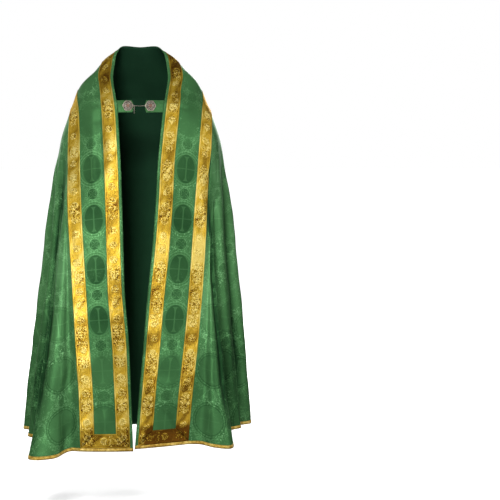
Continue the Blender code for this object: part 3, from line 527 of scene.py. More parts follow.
# ---------------------------------------------------------------- creases
# A crease is a soft trough or ridge seen from one side, in millimetres: its height, which is below 0
# for a trough, its width, and its places (across, z). VIEW has each side's axis across, and the sign
# on the other axis of the normals that face it.
VIEW = {"front": (0, -1), "back": (0, 1), "right": (1, -1), "left": (1, 1)}
MANTLE_CREASES = {
    "front": [
        # the wearer's right front: the valley and ridges outside the bands, then small drags beside them
        (-12, 12, (-250, -120), (-272, -290), (-280, -420), (-297, -560), (-320, -840), (-337, -980),
                  (-384, -1300)),
        (7, 14, (-274, -160), (-292, -290), (-303, -420), (-322, -600), (-345, -840), (-362, -980)),
        (4.5, 18, (-262, -270), (-268, -500), (-281, -800), (-306, -1050), (-330, -1300)),
        (5, 13, (-352, -920), (-372, -1080), (-388, -1300)),
        (-4, 10, (-224, -900), (-240, -960), (-262, -1050)),
        (-4, 11, (-232, -1130), (-250, -1190), (-276, -1280)),
        (-3.5, 12, (-262, -990), (-270, -1120), (-262, -1240)),
        (4, 15, (-166, 0), (-166, -150), (-158, -420)),
        (-3.5, 12, (-142, -50), (-139, -180), (-136, -380)),
        (-3, 11, (-162, -980), (-140, -1050), (-128, -1160)),
        (3, 12, (-176, -1030), (-160, -1120), (-132, -1210)),
        (-2.6, 9, (-150, -860), (-132, -900), (-118, -970)),
        # the wearer's left front
        (-12, 12, (228, -120), (234, -300), (238, -420), (249, -570), (260, -760), (280, -1020),
                  (306, -1260)),
        (5.5, 14, (246, -180), (271, -420), (279, -560), (308, -840), (322, -1240)),
        (-7, 14, (286, -300), (296, -480), (308, -680), (334, -950), (346, -1240)),
        (-3, 10, (198, -930), (214, -1000), (222, -1100)),
        (-3, 10, (60, -1100), (90, -1140), (120, -1220)),
        (2.8, 12, (70, -1000), (96, -1060), (134, -1120)),
        (-2.8, 10, (96, -840), (118, -920), (146, -980)),
        (3.4, 14, (158, 0), (156, -160), (150, -360)),
        # soft drags over both shoulders, from one band to the other
        (-2.6, 8, (-196, -28), (-160, -46), (-122, -34)),
        (-2.2, 7, (-200, -70), (-166, -82), (-128, -66)),
        (-2, 7, (-192, -118), (-160, -134), (-130, -124)),
        (-2.4, 8, (118, -16), (150, -36), (186, -24)),
        (-2.2, 7, (126, -76), (158, -92), (198, -70)),
    ],
    "back": [
        # the back: the folds that hang from the shoulders, and those that fall from below the hood
        (-7, 16, (270, -220), (276, -570), (292, -900), (328, -1260)),
        (-7, 15, (-266, -240), (-268, -600), (-276, -1020), (-286, -1280)),
        (4.5, 20, (238, -500), (246, -840), (262, -1280)),
        (4.5, 19, (-236, -440), (-238, -800), (-236, -1280)),
        (-5.5, 19, (168, -600), (210, -740), (272, -930), (290, -1060)),
        (-6, 26, (-78, -460), (-74, -660), (-54, -940)),
        (-4.5, 16, (-118, -680), (-150, -800), (-206, -950)),
        (-6, 19, (222, -960), (240, -1100), (250, -1320)),
        (-5.5, 17, (-60, -1020), (-68, -1140), (-80, -1330)),
        (4.5, 20, (60, -660), (72, -920), (78, -1320)),
        (-5, 18, (120, -840), (140, -1060), (146, -1330)),
        (4, 17, (-130, -960), (-146, -1120), (-156, -1320)),
        (-4, 15, (-186, -1000), (-196, -1140), (-206, -1320)),
        (-2.6, 12, (250, -100), (262, -200), (262, -340)),
    ],
    "right": [
        # the sides, as the folds go on round the arms
        (-6.5, 16, (-30, -280), (-36, -600), (-28, -940), (-24, -1270)),
        (4, 18, (8, -200), (6, -560), (20, -1270)),
        (-5.5, 15, (46, -340), (54, -740), (72, -1260)),
        (-4.5, 14, (-90, -600), (-108, -860), (-120, -1260)),
        (-3.5, 13, (92, -220), (112, -460), (118, -800)),
        (3.5, 13, (-62, -420), (-74, -820), (-70, -1260)),
    ],
    "left": [
        (-6.5, 16, (-44, -240), (-46, -580), (-50, -920), (-52, -1250)),
        (4, 17, (0, -180), (4, -540), (-6, -1240)),
        (-5.5, 15, (38, -300), (46, -720), (52, -1240)),
        (-4.5, 14, (-104, -540), (-108, -840), (-126, -1240)),
        (-4, 13, (84, -240), (98, -500), (104, -840)),
        (3.5, 13, (70, -700), (84, -960), (94, -1240)),
    ],
}
HOOD_CREASES = {
    "back": [
        (-4, 24, (-20, -250), (-38, -330), (-52, -410)),
        (-3, 10, (82, -200), (56, -280), (12, -360)),
        (3.4, 16, (-50, -220), (-80, -340), (-118, -460)),
        (-3.2, 13, (-90, -180), (-116, -300), (-130, -400)),
        (3, 18, (100, -240), (112, -360), (90, -480)),
        (-2.6, 11, (50, -380), (40, -460), (0, -530)),
        (-2.4, 10, (206, -140), (196, -240), (200, -340)),
        (-2.4, 10, (-200, -120), (-208, -220), (-198, -320)),
    ],
}
CREASE_SPREAD = 1.45         # a crease's width on the cloth, as a share of its width in the table
CREASE_BANKS = 0.6           # how high the cloth stands on either side of it
CREASE_TAPER = 0.3           # the share of its run over which each end fades
CREASE_SEEN = (0.05, 0.35)   # how squarely the cloth must face the side, to start and in full
# The painted shade along deep valleys: its width as a share of the crease's, which creases get it, how
# squarely the cloth must face the side, and the depth that gives it in full.
VALLEY_SHADE_SPREAD = 0.9
SHADED_VALLEY_DEPTH = -0.0044       # creases deeper than this also get painted shade in the cloth's colour
VALLEY_SHADE_SEEN = (0.0, 0.15)
FULL_VALLEY_SHADE_DEPTH = -0.012
# Long low waves that no cloth hangs without: wavelength, height and direction (x, y, z).
WAVES = [(0.31, 0.0016, (0.8, 0.5, 0.25)), (0.19, 0.0011, (-0.5, 0.9, 0.35)),
         (0.13, 0.0007, (0.9, -0.3, 0.7)), (0.085, 0.00035, (0.4, 0.6, -0.9))]


def waves(points):
    total = np.zeros(len(points))
    for turn, (length, height, direction) in enumerate(WAVES):
        phase = points @ unit(np.array(direction)) * (2 * math.pi / length) + 1.7 * turn
        total += height * np.sin(phase + 1.3 * np.sin(points[:, 2] * (3.1 / length) ** 0.7 + turn))
    return total


def crease_heights(sheet, creases):
    """How far the creases move each point along its normal, and how much painted shade it gets in a deep
    valley.
    """
    total, painted_valley_shade = np.zeros((2, len(sheet.points)))
    for side, rows in creases.items():
        axis, sign = VIEW[side]
        facing = sheet.normals[:, 1 - axis] * sign
        flat = sheet.points[:, [axis, 2]]
        for depth, width, *path in rows:
            depth, width, path = depth / 1000, width / 1000, np.array(path) / 1000
            run = run_length(path)
            near, along = np.full(len(flat), 1e9), np.zeros(len(flat))
            for a, b, start in zip(path, path[1:], run):
                step = b - a
                t = np.clip(((flat - a) @ step) / (step @ step), 0.0, 1.0)
                distance = np.linalg.norm(flat - a - t[:, None] * step, axis=1)
                closer = distance < near
                near = np.where(closer, distance, near)
                along = np.where(closer, start + t * np.linalg.norm(step), along)
            share = along / run[-1]
            taper = ease(0.0, CREASE_TAPER, share) * (1.0 - ease(1.0 - CREASE_TAPER, 1.0, share))
            reach = near / (width * CREASE_SPREAD)
            profile = (1.0 - CREASE_BANKS * reach**2) * np.exp(-(reach**2))
            total += depth * taper * profile * ease(*CREASE_SEEN, facing)
            # Deep creases also paint shade into the cloth's colour along their valleys.
            if depth < SHADED_VALLEY_DEPTH:
                core = np.exp(-((near / (width * VALLEY_SHADE_SPREAD)) ** 2))
                painted_valley_shade += depth / FULL_VALLEY_SHADE_DEPTH * taper * core * ease(*VALLEY_SHADE_SEEN, facing)
    return total, painted_valley_shade


def store_painted_valley_shade(piece, painted_valley_shade):
    """Stores the painted shade that each outer point gets in a deep valley, for the cloth's colour."""
    layer = piece.data.attributes.new("valley", "FLOAT", "POINT")
    rest = len(piece.data.vertices) - len(painted_valley_shade)
    layer.data.foreach_set("value", np.pad(painted_valley_shade, (0, rest)))


# ---------------------------------------------------------------- the mantle
PATTERN_WIDTH = 0.150        # the damask's repeat
PATTERN_HEIGHT = 0.165
FRONT_REPEAT = 0.173         # the repeat down the fronts, as the cloth hangs there
FRONT_DISC_Z = -0.4655       # a disc's centre on each front
PANEL_SHIFT = 20 * PATTERN_WIDTH    # added across the skirt and the hood, so that the looks can tell them
GAP_SQUEEZE = (1.12, 0.88)   # the gap's cloth is eased in: its pattern looks narrow, less so at the hem
GAP_OPENS = (-0.80, -1.20)
BACK_DISC_X = 0.046
BACK_DISC_DROP = 0.543


def strip_coords(points, places):
    """Cloth coordinates of the strip: out from the gap's middle, and up the straight edge."""
    inside, outside = places[:, [GAP_START]], places[:, [BAND_2]]
    off = places - (inside + outside) / 2
    in_gap = np.clip(off, (inside - outside) / 2, (outside - inside) / 2)
    middle = points[:, GAP_MIDDLE]
    run, z = run_length(middle), middle[:, 2]
    right_at = np.interp(FRONT_DISC_Z, z[: YOKE_START + 1], run[: YOKE_START + 1])
    left_at = np.interp(-FRONT_DISC_Z, -z[YOKE_END:], run[YOKE_END:])
    up = np.where(STATIONS < (YOKE_START + YOKE_END) // 2, run - right_at, left_at - run)
    squeeze = GAP_SQUEEZE[0] + (GAP_SQUEEZE[1] - GAP_SQUEEZE[0]) * ease(*GAP_OPENS, z)[:, None]
    across = in_gap * squeeze + (off - in_gap)
    up = up[:, None] * (PATTERN_HEIGHT / FRONT_REPEAT)
    return np.stack(np.broadcast_arrays(across, up), axis=-1)


def fan_coords(skirt, anchor, start, step, sign):
    """Cloth coordinates of the skirt unrolled from an anchor column, one way round."""
    coords = np.zeros(skirt.shape[:2] + (2,))
    coords[anchor] = start
    turn, k = 0.0, anchor
    while 0 <= k + step < len(skirt):
        gaps = np.linalg.norm(skirt[k + step] - skirt[k], axis=-1)
        turn += (gaps[-1] - gaps[0]) / run_length(skirt[k])[-1]
        coords[k + step] = coords[k] + gaps[:, None] * [sign * math.cos(turn), math.sin(turn)]
        k += step
    return coords


def mantle_sheet():
    """The mantle's outer face, its strip and skirt grids, and the strip's places."""
    sheet = Sheet()
    points, places = strip_grid()
    strip = sheet.add_points(points)
    free = sheet.add_points(skirt_points(COLUMNS[1:-1], FALLS[1:]))
    numbers = np.empty((LAST_COLUMN + 1, LAST_FALL + 1), int)
    seam = strip[:, STRIP_LAST]
    numbers[0], numbers[-1] = seam[YOKE_START::-1], seam[YOKE_END:]
    numbers[1:-1] = np.column_stack([seam[YOKE_START + 1 : YOKE_END], free])
    coords = strip_coords(points, places)
    sheet.add_grid(strip, coords)
    skirt = sheet.points[numbers]
    centre = column_at(FOLD_ROWS[-1] / 2)
    drop = run_length(skirt[centre])
    start = np.column_stack([np.full_like(drop, skirt[centre, 0, 0] - BACK_DISC_X), BACK_DISC_DROP - drop])
    seams = [column_at(FOLD_NAMES.index(name)) for name in ("right_side_valley", "left_side_valley")]
    right_start, left_start = coords[YOKE_START::-1, STRIP_LAST], coords[YOKE_END:, STRIP_LAST]
    for low, high, anchor, first, step in (
            (0, seams[0], 0, right_start, 1), (seams[0], centre, centre, start, -1),
            (centre, seams[1], centre, start, 1), (seams[1], LAST_COLUMN, LAST_COLUMN, left_start, -1)):
        sign = -1 if low == seams[0] else 1
        panel = fan_coords(skirt, anchor, first, step, sign)[low : high + 1]
        sheet.add_grid(numbers[low : high + 1], panel + [PANEL_SHIFT, 0.0])
    return sheet, strip, numbers, places


def build_galloon(sheet, strip, skirt, places, gold, braid_gold):
    """The bands, foot bands, back bar and hem braid, laid on the mantle's own points."""
    look = ("galloon", gold)
    past_corner = np.maximum(np.maximum(YOKE_START - STATIONS, STATIONS - YOKE_END), 0)
    place = np.arange(STRIP_LAST + 1)
    inset = np.minimum(place - BAND_1, STRIP_LAST - place)
    above_mitre = BRAID_ROW - past_corner[:, None] - inset      # 0 on a mitre, less on the foot's side
    first, last = YOKE_START - BRAID_ROW, YOKE_END + BRAID_ROW + 1
    run = run_length(sheet.points[strip[:, GAP_MIDDLE]])[:, None]
    pieces = []
    for name, start in (("orphrey_band_edge", BAND_1), ("orphrey_band_inner", BAND_2)):
        part = np.s_[first:last, start : start + BAND_CELLS + 1]
        across = places[part] - places[first:last, [start]]
        pieces.append(lay_trim(name, look, sheet, strip[part], across, run[first:last], BAND_TOPS,
                               above_mitre[part] >= 0))

    bar = YOKE_START + column_at(FOLD_NAMES.index("back_centre_right"))
    for name, low, columns, turn in (
            ("orphrey_foot_right", first, np.s_[BAND_1:], 1),
            ("orphrey_foot_left", YOKE_END + FOOT_ROW, np.s_[BAND_1:], -1),
            ("orphrey_bar_back", bar, np.s_[GAP_START : BAND_2 + 1], 1)):
        part = np.s_[low : low + BAND_CELLS + 1, columns]
        kept = None if low == bar else above_mitre[part] <= 0
        pieces.append(lay_trim(name, look, sheet, strip[part], BAND_PLACES[::turn, None], places[part],
                               BAND_TOPS[::turn, None], kept))

    right = strip[YOKE_START - BRAID_ROW :: -1, :STRIP_LAST].T
    left = strip[YOKE_END + BRAID_ROW :, STRIP_LAST - 1 :: -1].T
    ring = np.vstack([right, skirt[:, BRAID_ROW:], left])
    run = run_length(sheet.points[ring[:, 0]])[:, None]
    pieces.append(lay_trim("hem_braid", ("braid", braid_gold), sheet, ring,
                           np.linspace(0.0, BRAID_WIDTH, len(BRAID_TOPS)), run, BRAID_TOPS))
    return pieces


def build_mantle(silk, lining, gold, braid_gold):
    """The mantle, what is sewn on it, and its straight edge."""
    sheet, strip, skirt, places = mantle_sheet()
    sheet.find_normals()
    relief, painted_valley_shade = crease_heights(sheet, MANTLE_CREASES)
    relief += waves(sheet.points)
    sag = sheet.normals * sunk_under(relief, [strip, skirt])[:, None]
    sheet.raise_by(relief)
    sag += sheet.normals * CLOTH
    border = [strip[:-1, 0], strip[-1, :-1], skirt[:0:-1, -1], strip[0, :0:-1]]
    mantle = lined_shell("mantle", sheet, [strip, skirt], np.concatenate(border).tolist(), sag,
                         [silk, lining])
    store_painted_valley_shade(mantle, painted_valley_shade)
    trim = build_galloon(sheet, strip, skirt, places, gold, braid_gold)
    return mantle, trim, sheet.points[strip[:, 0]]


# ---------------------------------------------------------------- the hood
BACK_FOLDS = [i for i, name in enumerate(FOLD_NAMES) if "back" in name]
TABLE_STEP = 0.004
TABLE_X = np.arange(-0.30, 0.30 + TABLE_STEP, TABLE_STEP)
TABLE_Z = np.arange(0.02, -0.66 - TABLE_STEP, -TABLE_STEP)
TOP_CELLS, SIDE_CELLS, CORNER_CELLS, FOOT_CELLS = 64, 36, 40, 24
HOOD_MIDDLE = np.array([0.0, 0.215])
HOOD_RINGS = 28              # from the bands' inner edge to the hood's middle
HOOD_PATTERN_SHIFT = np.array([PANEL_SHIFT, 0.13])
HOOD_RELIEF = (-0.0040, 0.0060)


def back_table():
    """The depth of the mantle's back over a table of x and z."""
    tops = yoke_line("outer", TOPS[BACK_FOLDS, 0])[:, [2]]
    falls = np.maximum((tops - TABLE_Z) / (tops - HEM_Z[BACK_FOLDS]), 0.0)
    levels = skirt_points(BACK_FOLDS, falls).transpose(1, 0, 2)
    return np.array([smooth_curve(line[:, 0], line[:, 1:2], TABLE_X)[:, 0] for line in levels])


BACK_DEPTH = back_table()


def back_y(x, z):
    i = np.clip((TABLE_Z[0] - z) / TABLE_STEP, 0, len(TABLE_Z) - 1.001)
    j = np.clip((x - TABLE_X[0]) / TABLE_STEP, 0, len(TABLE_X) - 1.001)
    row, column = i.astype(int), j.astype(int)
    down, across = i - row, j - column
    upper, lower = (BACK_DEPTH[level, column] * (1 - across) + BACK_DEPTH[level, column + 1] * across
                    for level in (row, row + 1))
    return upper * (1 - down) + lower * down


def hood_points(flat, lift=0.0):
    """The hood's outer face at flat places (to the side, down from the seam), and its normals."""
    seam = yoke_line("outer", flat[..., 0])
    x, z = seam[..., 0], seam[..., 2] - SEAM_GAP - HOOD_DROP * flat[..., 1]
    settle = ease(0.0, HOOD_SETTLES, flat[..., 1])
    stand_off = HOOD_SEAM_STAND_OFF + (HOOD_STAND_OFF - HOOD_SEAM_STAND_OFF) * settle
    step = 2 * TABLE_STEP
    slope_x = (back_y(x + step, z) - back_y(x - step, z)) / (2 * step)
    slope_z = (back_y(x, z + step) - back_y(x, z - step)) / (2 * step)
    normal = unit(np.stack([-slope_x, np.ones(x.shape), -slope_z], axis=-1))
    reach = (stand_off + CLOTH + lift)[..., None]
    return np.stack([x, back_y(x, z), z], axis=-1) + normal * reach, normal


def hood_side_line(inset=0.0):
    """The hood's outline from its right top corner, round the foot, to the left: places, outwards."""
    foot_half, side_end = np.array([HOOD_HALF_WIDTH, HOOD_LENGTH]) - HOOD_CORNER
    down = inset + (side_end - inset) * np.arange(SIDE_CELLS) / SIDE_CELLS
    side = np.column_stack([np.full(SIDE_CELLS, HOOD_HALF_WIDTH - inset), down])
    turn = np.linspace(0.0, math.pi / 2, CORNER_CELLS + 1)
    quarter = np.column_stack([np.cos(turn), np.sin(turn)])
    outward = unit(quarter * HOOD_CORNER[::-1])
    corner = np.array([foot_half, side_end]) + quarter * HOOD_CORNER - outward * inset
    across = foot_half * (1.0 - 2.0 * np.arange(1, FOOT_CELLS // 2 + 1) / FOOT_CELLS)
    foot = np.column_stack([across, np.full(len(across), HOOD_LENGTH - inset)])
    half = np.vstack([side, corner, foot])
    outwards = np.vstack([np.tile([1.0, 0.0], (len(side), 1)), outward,
                          np.tile([0.0, 1.0], (len(foot), 1))])
    return [np.vstack([line, line[-2::-1] * [-1.0, 1.0]]) for line in (half, outwards)]


def hood_rings():
    """Flat places of closed rings, from the hood's outline in to its middle."""
    rings = []
    for inset in BAND_PLACES:
        reach = HOOD_HALF_WIDTH - inset
        across = np.linspace(-reach, reach, TOP_CELLS + 1)[:-1]
        top = np.column_stack([across, np.full(TOP_CELLS, inset)])
        rings.append(np.vstack([top, hood_side_line(inset)[0]]))
    shares = 1.0 - np.arange(1, HOOD_RINGS + 1) / HOOD_RINGS
    return np.concatenate([rings, HOOD_MIDDLE + (rings[-1] - HOOD_MIDDLE) * shares[:, None, None]])


def build_hood(silk, lining, gold):
    """The hood and its bands."""
    flat = hood_rings()
    run = run_length(flat[0])
    sheet = Sheet()
    numbers = sheet.add_points(hood_points(flat)[0])
    numbers[:, -1] = numbers[:, 0]
    numbers[-1] = numbers[-1, 0]
    numbers = numbers[:, ::-1]
    sheet.add_grid(numbers, (flat * [1.0, -1.0] + HOOD_PATTERN_SHIFT)[:, ::-1])
    sheet.find_normals()
    relief = crease_heights(sheet, HOOD_CREASES)[0] + 0.5 * waves(sheet.points)
    sheet.raise_by(np.clip(relief, *HOOD_RELIEF))
    hood = lined_shell("hood", sheet, [numbers], numbers[0, :-1].tolist(), sheet.normals * CLOTH,
                       [silk, lining])
    corner = len(run) - 1 - TOP_CELLS
    bands = []
    for name, part in (("hood_band_top", np.s_[corner:]), ("hood_band_sides", np.s_[: corner + 1])):
        bands.append(lay_trim(name, ("galloon", gold), sheet, numbers[: BAND_CELLS + 1, part],
                              BAND_PLACES[:, None], run[part], BAND_TOPS[:, None]))
    return hood, bands


# ---------------------------------------------------------------- cords
HEADING_PLACES = np.array([0.0, 0.8, 2.0, 3.2, 4.0]) / 1000
HEADING_TOPS = np.array([0.4, 1.3, 0.9, 1.3, 0.4]) / 1000
STRAND_PLACES, STRAND_SIDES = 20, 4
STRAND_RADIUS = 0.00125
STRAND_TWIST = math.radians(38)


def points_at(distances, run, path):
    """Points of a path at distances of its run."""
    return np.column_stack([np.interp(distances, run, axis) for axis in path.T])


def spokes(ahead, toward, turns):
    """Unit vectors round each place of a path, by turns from the side that it shows toward."""
    across = unit(np.cross(ahead, toward))[..., None, :]
    up = np.cross(across, ahead[..., None, :])
    return np.cos(turns)[..., None] * across + np.sin(turns)[..., None] * up


def tube_cells(rings, coords=None):
    """The faces of a tube from its rings of point numbers."""
    return grid_cells(np.pad(rings, ((0, 0), (0, 1)), mode="wrap").T, coords)


def tubes(centres, normals, radii, sides, twist):
    """Many tubes at once: centres is (tube, place, xyz). Returns points, faces and coordinates."""
    count, places = centres.shape[:2]
    turns = wheel(sides) + twist * np.arange(places)[:, None]
    around = spokes(unit(np.gradient(centres, axis=1)), normals, turns)
    points = centres[:, :, None] + around * radii[:, None, None]
    numbers = np.arange(count * places * sides).reshape(count, places, sides)
    shares = [np.linspace(0.0, 1.0, number) for number in (sides + 1, places)]
    round_and_along = np.stack(np.meshgrid(*shares, indexing="ij"), axis=-1)
    faces, coords = [], []
    for tube in numbers:
        wall, uvs = tube_cells(tube, round_and_along)
        faces += wall + [tube[0, ::-1].tolist(), tube[-1].tolist()]
        coords += uvs + [[[0.5, 0.0]] * sides, [[0.5, 1.0]] * sides]
    return points.reshape(-1, 3), faces, coords


def build_heading(braid_gold):
    """The narrow braid that the fringe hangs from, along the hood's edge."""
    outline, outwards = hood_side_line()
    offsets = FRINGE_GAP + HEADING_PLACES
    sheet = Sheet()
    flat = outline[:, None] + outwards[:, None] * offsets[:, None]
    numbers = sheet.add_points(hood_points(flat, -CLOTH)[0])
    sheet.add_grid(numbers)
    sheet.find_normals()
    return lay_trim("hood_fringe_heading", ("bullion", braid_gold), sheet, numbers, offsets,
                    run_length(outline)[:, None], HEADING_TOPS, base=0.0, node="hood_fringe")


def build_fringe(bullion):
    """Bullion: twisted cords, close together, hanging round the hood's sides and foot."""
    draw = random.Random(7)
    outline, outwards = hood_side_line()
    run = run_length(outline)
    count = int((run[-1] - FRINGE_LENGTH) / BULLION_PITCH)
    along = np.linspace(FRINGE_LENGTH / 2, run[-1] - FRINGE_LENGTH / 2, count)
    out = unit(points_at(along, run, outwards))
    hang = unit(np.column_stack([out[:, 0] * 0.5, np.ones(count)]))
    side = np.column_stack([hang[:, 1], -hang[:, 0]])
    shares = np.linspace(0.0, 1.0, STRAND_PLACES)
    length = np.array([[FRINGE_LENGTH * draw.uniform(0.96, 1.01)] for _ in range(count)])
    sway = np.array([[draw.gauss(0.0, 0.0009)] for _ in range(count)])
    lift = np.array([[draw.uniform(-0.0004, 0.0006)] for _ in range(count)])
    root = points_at(along, run, outline) + out * (FRINGE_GAP + FRINGE_STRIP * 0.6)
    flat = root[:, None] + hang[:, None] * (length * shares)[..., None]
    flat = flat + side[:, None] * (sway * shares**2)[..., None]
    centres, normals = hood_points(flat, lift * shares - CLOTH / 2)
    radii = STRAND_RADIUS * (1.0 - 0.25 * shares**6)
    fringe = add_mesh("hood_fringe", *tubes(centres, normals, radii, STRAND_SIDES, STRAND_TWIST))
    return finish_piece(fringe, "bullion", [bullion], "hood_fringe")


# ---------------------------------------------------------------- the clasp
FRONTWARD = np.array([0.0, -1.0, 0.0])
BEAD_RINGS, BEAD_SIDES, WIRE_SIDES = 6, 10, 6
LOBES = 6
WIRE_METAL, PLATE_METAL, ROSE_METAL = 0, 1, 2


class Heap:
    """Points and faces of many small parts, to be one mesh."""

    def __init__(self):
        self.points, self.faces, self.materials = [], [], []

    def add(self, points, faces, material=WIRE_METAL):
        base = len(self.points)
        self.points += [list(point) for point in points]
        self.faces += [[base + i for i in face] for face in faces]
        self.materials += [material] * len(faces)

    def loop(self, path, toward, radius):
        """A closed tube round a path of points; toward is the side that its first rib faces."""
        ahead = unit(np.roll(path, -1, axis=0) - np.roll(path, 1, axis=0))
        points = path[:, None] + radius * spokes(ahead, toward, wheel(WIRE_SIDES))
        numbers = np.arange(len(path) * WIRE_SIDES).reshape(len(path), WIRE_SIDES)
        self.add(points.reshape(-1, 3), tube_cells(np.vstack([numbers, numbers[:1]]))[0])

    def bead(self, centre, lift, radius, material=WIRE_METAL, squash=1.0):
        """A round bead lifted towards -Y, and flattened that way by squash."""
        lean, turn = np.meshgrid(np.linspace(0.0, math.pi, BEAD_RINGS + 1), wheel(BEAD_SIDES),
                                 indexing="ij")
        points = np.stack([np.sin(lean) * np.cos(turn), -np.cos(lean) * squash,
                           np.sin(lean) * np.sin(turn)], axis=-1).reshape(-1, 3)
        spare = BEAD_SIDES - 1          # each pole's ring is kept as one point
        points = points[spare:-spare]
        numbers = np.clip(np.arange(lean.size) - spare, 0, len(points) - 1).reshape(lean.shape)
        self.add(points * radius + centre + FRONTWARD * lift, tube_cells(numbers)[0], material)

    def piece(self, name, metals):
        made = add_mesh(name, self.points, self.faces, material_of=self.materials)
        return finish_piece(made, "clasp_metal", metals, name)


def circle(centre, radius, count, lift, depth=0.0):
    """Points round a circle in the plane that faces -Y, scalloped to a depth by the lobes."""
    turns = wheel(count)
    reach = radius * (1.0 + depth * np.cos(LOBES * turns))
    around = np.column_stack([reach * np.cos(turns), np.full(count, -lift), reach * np.sin(turns)])
    return centre + around


def node_box(node):
    """A CAD node's lowest and highest corners, measured from the neck's axis."""
    return [np.array(corner) - NECK_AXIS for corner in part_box(node)]


# The rosettes: reaches are shares of their radius, and lifts are in front of the plate's back.
PLATE_REACH, PLATE_POINTS, PLATE_LIFT, PLATE_SCALLOPS = 0.90, 72, 0.0009, 0.05
# Rings: reach or radius, points, lift, how deep the scallops are if any, and the wire's radius
RINGS = [(0.91, 96, 0.0012, 0.05, 0.0008), (0.40, 48, 0.0018, 0.0, 0.0007)]
LOBE_REACH = 0.655
LOBE_RINGS = [(0.0043, 24, 0.0019, 0.00062), (0.0024, 18, 0.0021, 0.00045)]
# Beads: reach, lift and radius, or lift and radius where they sit in the middle
BEADS_BETWEEN = [(0.80, 0.0016, 0.0010), (0.56, 0.0016, 0.0009)]
LOBE_BEAD, BOSS = (0.0019, 0.0011), (0.0026, 0.0019)
PETAL_REACH, PETAL_LIFT, PETAL_RADIUS, PETAL_SQUASH = 0.22, 0.0024, 0.0017, 0.8


def build_rosette(name, metals):
    """Filigree: a plate, a scalloped wire, six pierced lobes, an inner ring and a beaded boss."""
    low, high = node_box(name)
    centre = np.array([(low[0] + high[0]) / 2, high[1], (low[2] + high[2]) / 2])
    heap = Heap()
    plate = [circle(centre, ROSETTE_RADIUS * PLATE_REACH, PLATE_POINTS, lift, PLATE_SCALLOPS)
             for lift in (PLATE_LIFT, 0.0)]
    numbers = np.arange(2 * PLATE_POINTS).reshape(2, -1)
    faces = tube_cells(numbers)[0] + [numbers[0, ::-1].tolist(), numbers[1].tolist()]
    heap.add(np.vstack(plate), faces, PLATE_METAL)
    for reach, count, lift, scallops, wire in RINGS:
        heap.loop(circle(centre, ROSETTE_RADIUS * reach, count, lift, scallops), FRONTWARD, wire)
    for turn in wheel(LOBES):
        spoke, between = (np.array([math.cos(angle), 0.0, math.sin(angle)]) * ROSETTE_RADIUS
                          for angle in (turn, turn + math.pi / LOBES))
        lobe = centre + spoke * LOBE_REACH
        for radius, count, lift, wire in LOBE_RINGS:
            heap.loop(circle(lobe, radius, count, lift), FRONTWARD, wire)
        heap.bead(lobe, *LOBE_BEAD)
        for reach, lift, radius in BEADS_BETWEEN:
            heap.bead(centre + between * reach, lift, radius)
        heap.bead(centre + spoke * PETAL_REACH, PETAL_LIFT, PETAL_RADIUS, ROSE_METAL, PETAL_SQUASH)
    heap.bead(centre, *BOSS, ROSE_METAL)
    heap.piece(name, metals)


LINK_PITCH = 0.0036
LINK_HALF_LENGTH = 0.0025
LINK_HALF_WIDTH = 0.0014
LINK_POINTS = 16
LINK_WIRE = 0.00042
CHAIN_INSET = 0.0012         # between a rosette's box and the chain's end
CHAIN_SAG = 0.0012
HOOK_IN = 0.0024
LOOSE_END_OUT = 0.0004


def build_chain(metal):
    """A fine chain between the rosettes, with a loose end below the right one."""
    low_right, high_right = node_box("clasp_rosette_right")
    low_left, _ = node_box("clasp_rosette_left")
    depth = sum(node_box("clasp_chain"))[1] / 2
    middle_z = (low_right[2] + high_right[2]) / 2
    start = np.array([high_right[0] + CHAIN_INSET, depth, middle_z])
    end = np.array([low_left[0] - CHAIN_INSET, depth, middle_z])
    hook = start + [HOOK_IN, 0.0, 0.0]
    foot = hook - [LOOSE_END_OUT, 0.0, CHAIN_END_LENGTH - LINK_HALF_LENGTH]
    turns = wheel(LINK_POINTS)[:, None]
    heap = Heap()
    for path in ([start, (start + end) / 2 - [0.0, 0.0, CHAIN_SAG], end], [hook, foot]):
        path = np.array(path)
        run = run_length(path)
        count = max(round(run[-1] / LINK_PITCH), 1)
        at = (np.arange(count) + 0.5) * run[-1] / count
        for i, (along, point) in enumerate(zip(at, points_at(at, run, path))):
            ahead = unit(path[np.searchsorted(run, along)] - path[0])
            side = np.cross(ahead, FRONTWARD)
            across, facing = (FRONTWARD, side) if i % 2 else (side, FRONTWARD)
            oval = (point + np.cos(turns) * ahead * LINK_HALF_LENGTH
                    + np.sin(turns) * across * LINK_HALF_WIDTH)
            heap.loop(oval, facing, LINK_WIRE)
    heap.piece("clasp_chain", [metal])


TAB_CELLS = 14
TAB_CUT = 0.0045             # how far the tab's end corners are cut back
TAB_CUT_SHARE = 0.25         # over this share of its height from either corner
TAB_TILT = 0.004             # its end stands this far in front of the straight edge
TAB_SWELL, TAB_SINK, TAB_SEAM_SHARE = 0.0007, 0.0004, 0.22
TAB_EDGE_FROM = 0.03         # the straight edge is taken where it is further to the side than this


